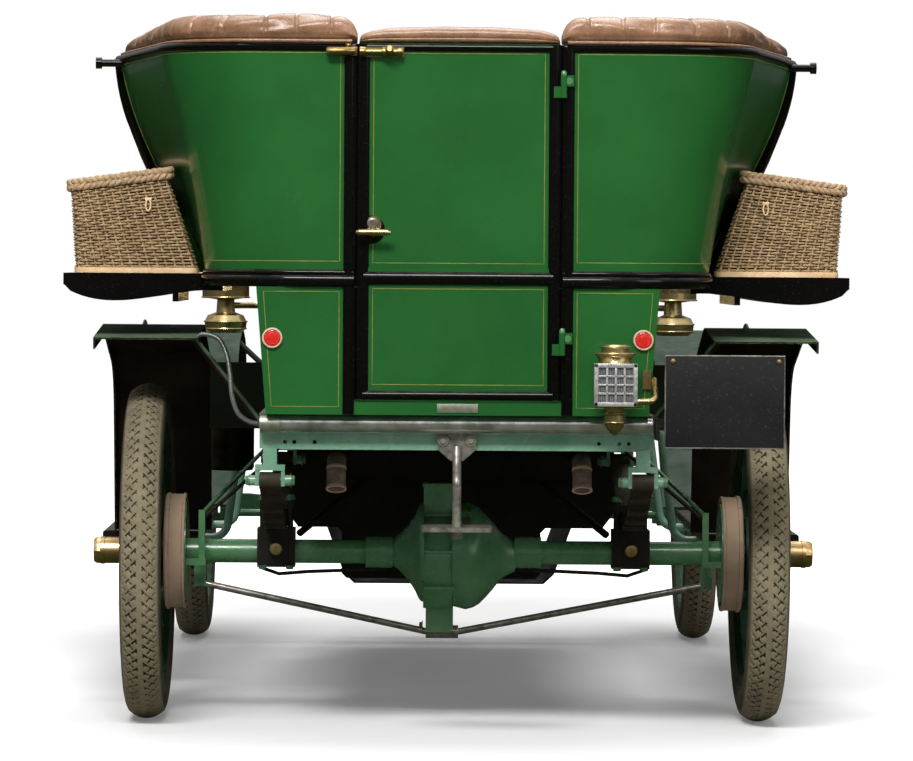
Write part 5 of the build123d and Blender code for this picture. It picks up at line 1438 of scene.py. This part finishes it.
def chassis_details():
    """Bolts, washers and caps on the running gear."""
    green = Piece("chassis_bolts", "green_chassis")
    bright = Piece("worn_bolts", "dull_metal")
    for side in (1, -1):
        for y, z in ((-0.530, 0.566), (0.530, 0.566), (1.900, 0.566), (2.700, 0.566)):
            for x, way in ((0.4463, 1), (0.3577, -1)):
                green.bolt((side * x, y, z), (side * way, 0, 0), 0.011, 0.009)
        for x in (0.371, 0.433):
            for y in (-0.033, 0.033):
                green.bolt((side * x, y, 0.4985), UP, 0.009, 0.009)
                green.bolt((side * x, y, 0.350), DOWN, 0.009, 0.009)
    green.build(30)
    for x in (-0.030, 0.030):
        bright.bolt((x, -0.5505, 0.6545), BACK, 0.0078, 0.007)
        bright.lathe(((0, 0.0125), (0.002, 0.0125), (0.003, 0.011), (0.003, 0)), (x, -0.5503, 0.6545),
                     BACK, 24)
    bright.lathe(((-0.002, 0.0212), (-0.002, 0.0216), (0.040, 0.0216), (0.040, 0.0212)),
                 (-0.421, -0.5608, 0.6905), RIGHT, 40)
    bright.lathe(((0, 0.0085), (0, 0.0100), (0.004, 0.0105), (0.012, 0.0105), (0.012, 0)),
                 (0, FACE_Y, 0.4740), UP, 24)
    bright.build(30)
    caps = Piece("clamp_caps", "hub_brass")
    for side in (1, -1):
        place = (side * 0.402, -0.0380, 0.388)
        caps.lathe(((0, 0.0152), (0.0118, 0.0152), (0.0146, 0.0128), (0.0152, 0.0060), (0.0145, 0.0050),
                    (0.0145, 0.0030), (0.0150, 0.0024), (0.0150, 0)), place, BACK, 36)
    caps.build(30)


def axle_details():
    """The gear case's shell, bolts and plugs, the truss rod, the brake rods and a black wall across the
    underbody as painted shade.
    """
    cover = Piece("gear_case_shell", "green_chassis")
    centre = (0, 0, 0.380)
    cover.lathe(((-0.1405, 0.0312), (-0.133, 0.034), (-0.120, 0.045), (-0.1056, 0.061), (-0.094, 0.076),
                 (-0.086, 0.089), (-0.079, 0.104), (-0.0735, 0.1115), (-0.067, 0.1125)), centre, RIGHT, 72)
    cover.lathe(((-0.0035, 0.1135), (0.010, 0.1172), (0.028, 0.1216), (0.045, 0.1172), (0.058, 0.1098),
                 (0.073, 0.0950), (0.088, 0.0780), (0.100, 0.0630), (0.112, 0.0500), (0.126, 0.0418),
                 (0.1405, 0.0352)), (0, 0, 0.372), RIGHT, 72)
    cover.build(50)
    rod_cover = Piece("truss_rod", "worn_steel")
    for side in (-1, 1):
        rod_cover.tube([(side * 0.570, 0, 0.307), (side * 0.022 - 0.025, 0, 0.1966)], 0.0078, 14)
    rod_cover.lathe(((-0.037, 0.0148), (0.037, 0.0148)), (-0.025, 0, 0.199), RIGHT, 24)
    rod_cover.build()
    # A black sheet across the underbody that closes the view through it: painted shade
    wall = Piece("underbody_shade_wall", "black_satin")
    outline = ((-0.398, 0.430), (-0.370, 0.393), (-0.276, 0.393), (-0.264, 0.381), (-0.264, 0.281),
               (-0.252, 0.269), (0.208, 0.269), (0.220, 0.281), (0.220, 0.381), (0.232, 0.393),
               (0.370, 0.393), (0.398, 0.430), (0.398, 0.655), (-0.398, 0.655))
    wall.solid([[Vector((x, y, z)) for x, z in outline] for y in (0.735, 0.738)]).build(30)
    case = Piece("gear_case_bolts", "green_chassis")
    for turn, way in spokes(14):
        if -0.90 <= way.z <= 0.82:
            for x, face in ((-0.066, LEFT), (-0.001, RIGHT)):
                case.bolt(Vector((x, 0, 0.360)) + way * 0.1055, face, 0.0060, 0.006, turn)
    flange = -0.034
    for z, y, half, thick, dome_radius in (
            (0.4665, -0.036, 0.032, 0.0045, 0.0060), (0.5345, -0.036, 0.032, 0.0045, 0.0060),
            (0.388, -0.110, 0.030, 0.0040, 0.0055), (0.306, -0.110, 0.030, 0.0040, 0.0055)):
        case.tube([(flange - half, y, z), (flange + half, y, z)], thick, 10)
        case.rivet((flange - half - 0.002, y + 0.002, z), LEFT, dome_radius)
        case.rivet((flange + half + 0.002, y + 0.002, z), RIGHT, dome_radius)
    case.build(30)
    plugs = Piece("gear_case_plugs", "hub_brass")
    for y, z, lean in ((-0.052, 0.4745, -0.55), (-0.083, 0.4515, -0.85)):
        way = Vector((0.10, lean, 0.75)).normalized()
        plugs.lathe(((0, 0.0135), (0.003, 0.0135), (0.0035, 0.0100), (0.010, 0.0095), (0.011, 0.006),
                     (0.011, 0)), (0.030, y, z), way, 24)
    plugs.bolt((-0.0685, 0, 0.212), LEFT, 0.009, 0.008)
    plugs.build(30)
    rods = Piece("brake_rods", "black_satin")
    for side in (1, -1):
        rods.tube([(side * 0.4415, 0.0, 0.344), (side * 0.396, 0.0, 0.3285), (side * 0.330, 0.0, 0.334),
                   (side * 0.150, 0.02, 0.340)], 0.0042, 8)
        rods.tube([(side * 0.352, 0.10, 0.415), (side * 0.125, 0.45, 0.590)], 0.0085, 10)
        rods.tube([(side * 0.560, -0.060, 0.463), (side * 0.445, 0.200, 0.560),
                   (side * 0.410, 0.520, 0.596)], 0.0045, 8)
    rods.build()


def conduit():
    """The braided sleeve from the left guard down to the frame's corner, in one easy curve."""
    knots = [Vector(point) for point in ((-0.575, -0.252, 0.868), (-0.560, -0.254, 0.876),
                                         (-0.526, -0.262, 0.866), (-0.507, -0.275, 0.832),
                                         (-0.498, -0.300, 0.787), (-0.492, -0.335, 0.742),
                                         (-0.477, -0.385, 0.706), (-0.452, -0.445, 0.690),
                                         (-0.428, -0.480, 0.686))]
    line = []
    for number in range(len(knots) - 1):
        before, first = knots[max(0, number - 1)], knots[number]
        last, after = knots[number + 1], knots[min(len(knots) - 1, number + 2)]
        for step in range(8):
            t = step / 8
            line.append(0.5 * (2 * first + (last - before) * t
                               + (2 * before - 5 * first + 4 * last - after) * t * t
                               + (3 * first - before - 3 * last + after) * t ** 3))
    sleeve = Piece("conduit_sleeve", "sleeve_braid")
    line = spaced(line + [knots[-1]], 0.0028)
    sleeve.tube(line, [0.0052 + 0.0005 * (number % 2) for number in range(len(line))], 12)
    sleeve.build(80, replaces=("conduit",))


def exhaust_mouths():
    """Rolled rims on both tail pipes."""
    pipes = Piece("tail_pipe_rims", "drum_brown")
    for x in (-0.262, 0.278):
        foot = Vector((x, -0.356, 0.540))
        way = Vector((0, -0.026, -0.060)).normalized()
        pipes.lathe(((-0.006, 0.0212), (-0.003, 0.0226), (0.001, 0.0226), (0.002, 0.0205),
                     (0.001, 0.0180), (-0.010, 0.0180)), foot, way, 40)
        pipes.lathe(((-0.052, 0.0212), (-0.050, 0.0222), (-0.046, 0.0222), (-0.044, 0.0212)), foot, way, 40)
    pipes.build(30)


def tail_lamp():
    """The lamp's silver frame with a grid of sixteen ribbed panes, and its rims."""
    x, y, low, high, half = 0.333, -0.718, 0.737, 0.826, 0.045
    lip, rim, bar = 0.001, 0.008, 0.0042
    wide, tall = (half - rim) / 2, (high - low - 2 * rim) / 4
    left, right, base, top = x - half - lip, x + half + lip, low - lip, high + lip
    shell = Piece("tail_lamp_frame", "silver_plate")
    for start, end, foot, head in ((left, x - half + rim, base, top), (x + half - rim, right, base, top),
                                   (left, right, base, low + rim), (left, right, high - rim, top)):
        shell.block((start, y - 0.010, foot), (end, y + 0.006, head), 0.0015)
    for number in range(1, 4):
        place = x - half + rim + wide * number
        shell.block((place - bar / 2, y - 0.0085, low + 0.006), (place + bar / 2, y, high - 0.006), 0.0008)
        place = low + rim + tall * number
        shell.block((x - half + 0.006, y - 0.0085, place - bar / 2),
                    (x + half - 0.006, y, place + bar / 2), 0.0008)
    shell.build(30)
    panes = Piece("tail_lamp_panes", "grey_lens")
    for column in range(4):
        for row in range(4):
            foot = low + rim + tall * row + lip
            for rib in range(4):
                place = x - half + rim + wide * (column + (rib + 0.5) / 4)
                panes.tube([(place, y - 0.003, foot), (place, y - 0.003, foot + tall - 2 * lip)],
                           wide / 8, 8)
    panes.build()
    rims = Piece("tail_lamp_rims", "brass")
    for z, radius, thick, count in ((0.847, 0.0425, 0.0018, 40), (0.8615, 0.0325, 0.0018, 40),
                                    (0.720, 0.0215, 0.0028, 32), (0.701, 0.0235, 0.0016, 32)):
        rims.hoop((x, -0.680, z), radius, UP, thick, count)
    rims.build()


def number_plate():
    """The blank plate's face, rolled edge and screws."""
    left, right, low, high, y = 0.444, 0.699, 0.645, 0.842, -0.614
    face = Piece("plate_face", "plate_enamel")
    face.block((left + 0.001, y - 0.0012, low + 0.001), (right - 0.001, y + 0.0004, high - 0.001), 0.0005)
    face.build(30)
    edge = Piece("plate_edge", "worn_steel")
    corners = [(left, y, low), (right, y, low), (right, y, high), (left, y, high)]
    frame_line(edge, corners, 0.0018)
    edge.build()
    screws = Piece("plate_screws", "hub_brass")
    for x in (left + 0.016, right - 0.012):
        screws.lathe(((0, 0.0062), (0.002, 0.0062), (0.0045, 0.0045), (0.0052, 0)), (x, y, high - 0.012),
                     BACK, 20)
        screws.block((x - 0.005, y - 0.0056, high - 0.0126), (x + 0.005, y - 0.0040, high - 0.0114))
    screws.build(30)


def lamp_dress():
    """Glass and rims on the side lamps and headlamps, and the headlamps' bowls."""
    glass = Piece("lamp_glasses", "lamp_glass")
    brass = Piece("lamp_rims", "brass")
    mirror_bowl = Piece("headlamp_bowls", "silver_plate")
    for side in (1, -1):
        x = side * 0.572
        y = 1.310
        glass.lathe(((0, 0.0440), (0.006, 0.040), (0.011, 0.025), (0.012, 0)), (x, y + 0.068, 1.040),
                    AHEAD, 40)
        brass.hoop((x, y + 0.0735, 1.040), 0.0475, AHEAD, 0.0040, 40, 10)
        for z, radius in ((0.866, 0.0525), (0.884, 0.0545), (0.946, 0.0605), (1.128, 0.0605),
                          (1.200, 0.0345)):
            brass.hoop((x, y, z), radius, UP, 0.0022, 40, 8)
        x, y, z = side * 0.392, 2.360, 0.905
        mirror_bowl.lathe(((0.012, 0.0), (0.016, 0.030), (0.030, 0.058), (0.058, 0.080), (0.074, 0.088)),
                          (x, y, z), AHEAD, 48)
        glass.lathe(((0.076, 0.0935), (0.082, 0.088), (0.086, 0.050), (0.088, 0)), (x, y, z), AHEAD, 48)
        brass.hoop((x, y + 0.083, z), 0.0985, AHEAD, 0.0050, 56, 10)
        brass.hoop((x, y + 0.040, z), 0.0930, AHEAD, 0.0028, 56, 8)
    glass.build()
    brass.build()
    mirror_bowl.build()


def bonnet_dress():
    """Louvres along both bonnet sides, and the radiator's tubes."""
    for side, word in WORDS.items():
        piece = Piece(f"bonnet_louvres_{word}", "green_paint", f"bonnet_{word}")
        for number in range(12):
            y = 1.520 + number * 0.052
            rows = []
            for step in range(9):
                up = step / 8
                bulge = sin(pi * up) ** 0.5 if 0 < up < 1 else 0
                z = 0.800 + 0.130 * up
                rows.append([Vector((side * 0.3195, y - 0.015, z)),
                             Vector((side * (0.3200 + 0.007 * bulge), y - 0.008, z)),
                             Vector((side * (0.3200 + 0.011 * bulge), y + 0.010, z)),
                             Vector((side * 0.3195, y + 0.011, z))])
            piece.grid(rows)
        piece.build(50)
    core = Piece("radiator_tubes", "engine_iron")
    for number in range(20):
        x = -0.250 + 0.500 * number / 19
        core.tube([(x, 2.303, 0.655), (x, 2.303, 0.975)], 0.0055, 8)
    core.build()


for hand in (1, -1):
    tonneau_mouldings(hand)
    corner_roll(hand)
    corner_lining(hand)
    basket(hand)
    lid(hand)
    for axle in ("rear", "front"):
        tyre(axle, hand, 3 + hand + (5 if axle == "front" else 0))
        wheel_dress(axle, hand)
lower_panels()
reflectors()
door_dress()
latch()
door_roll()
seats()
chassis_details()
axle_details()
conduit()
exhaust_mouths()
tail_lamp()
number_plate()
lamp_dress()
bonnet_dress()

make_camera()
make_stage()
dress_cad()
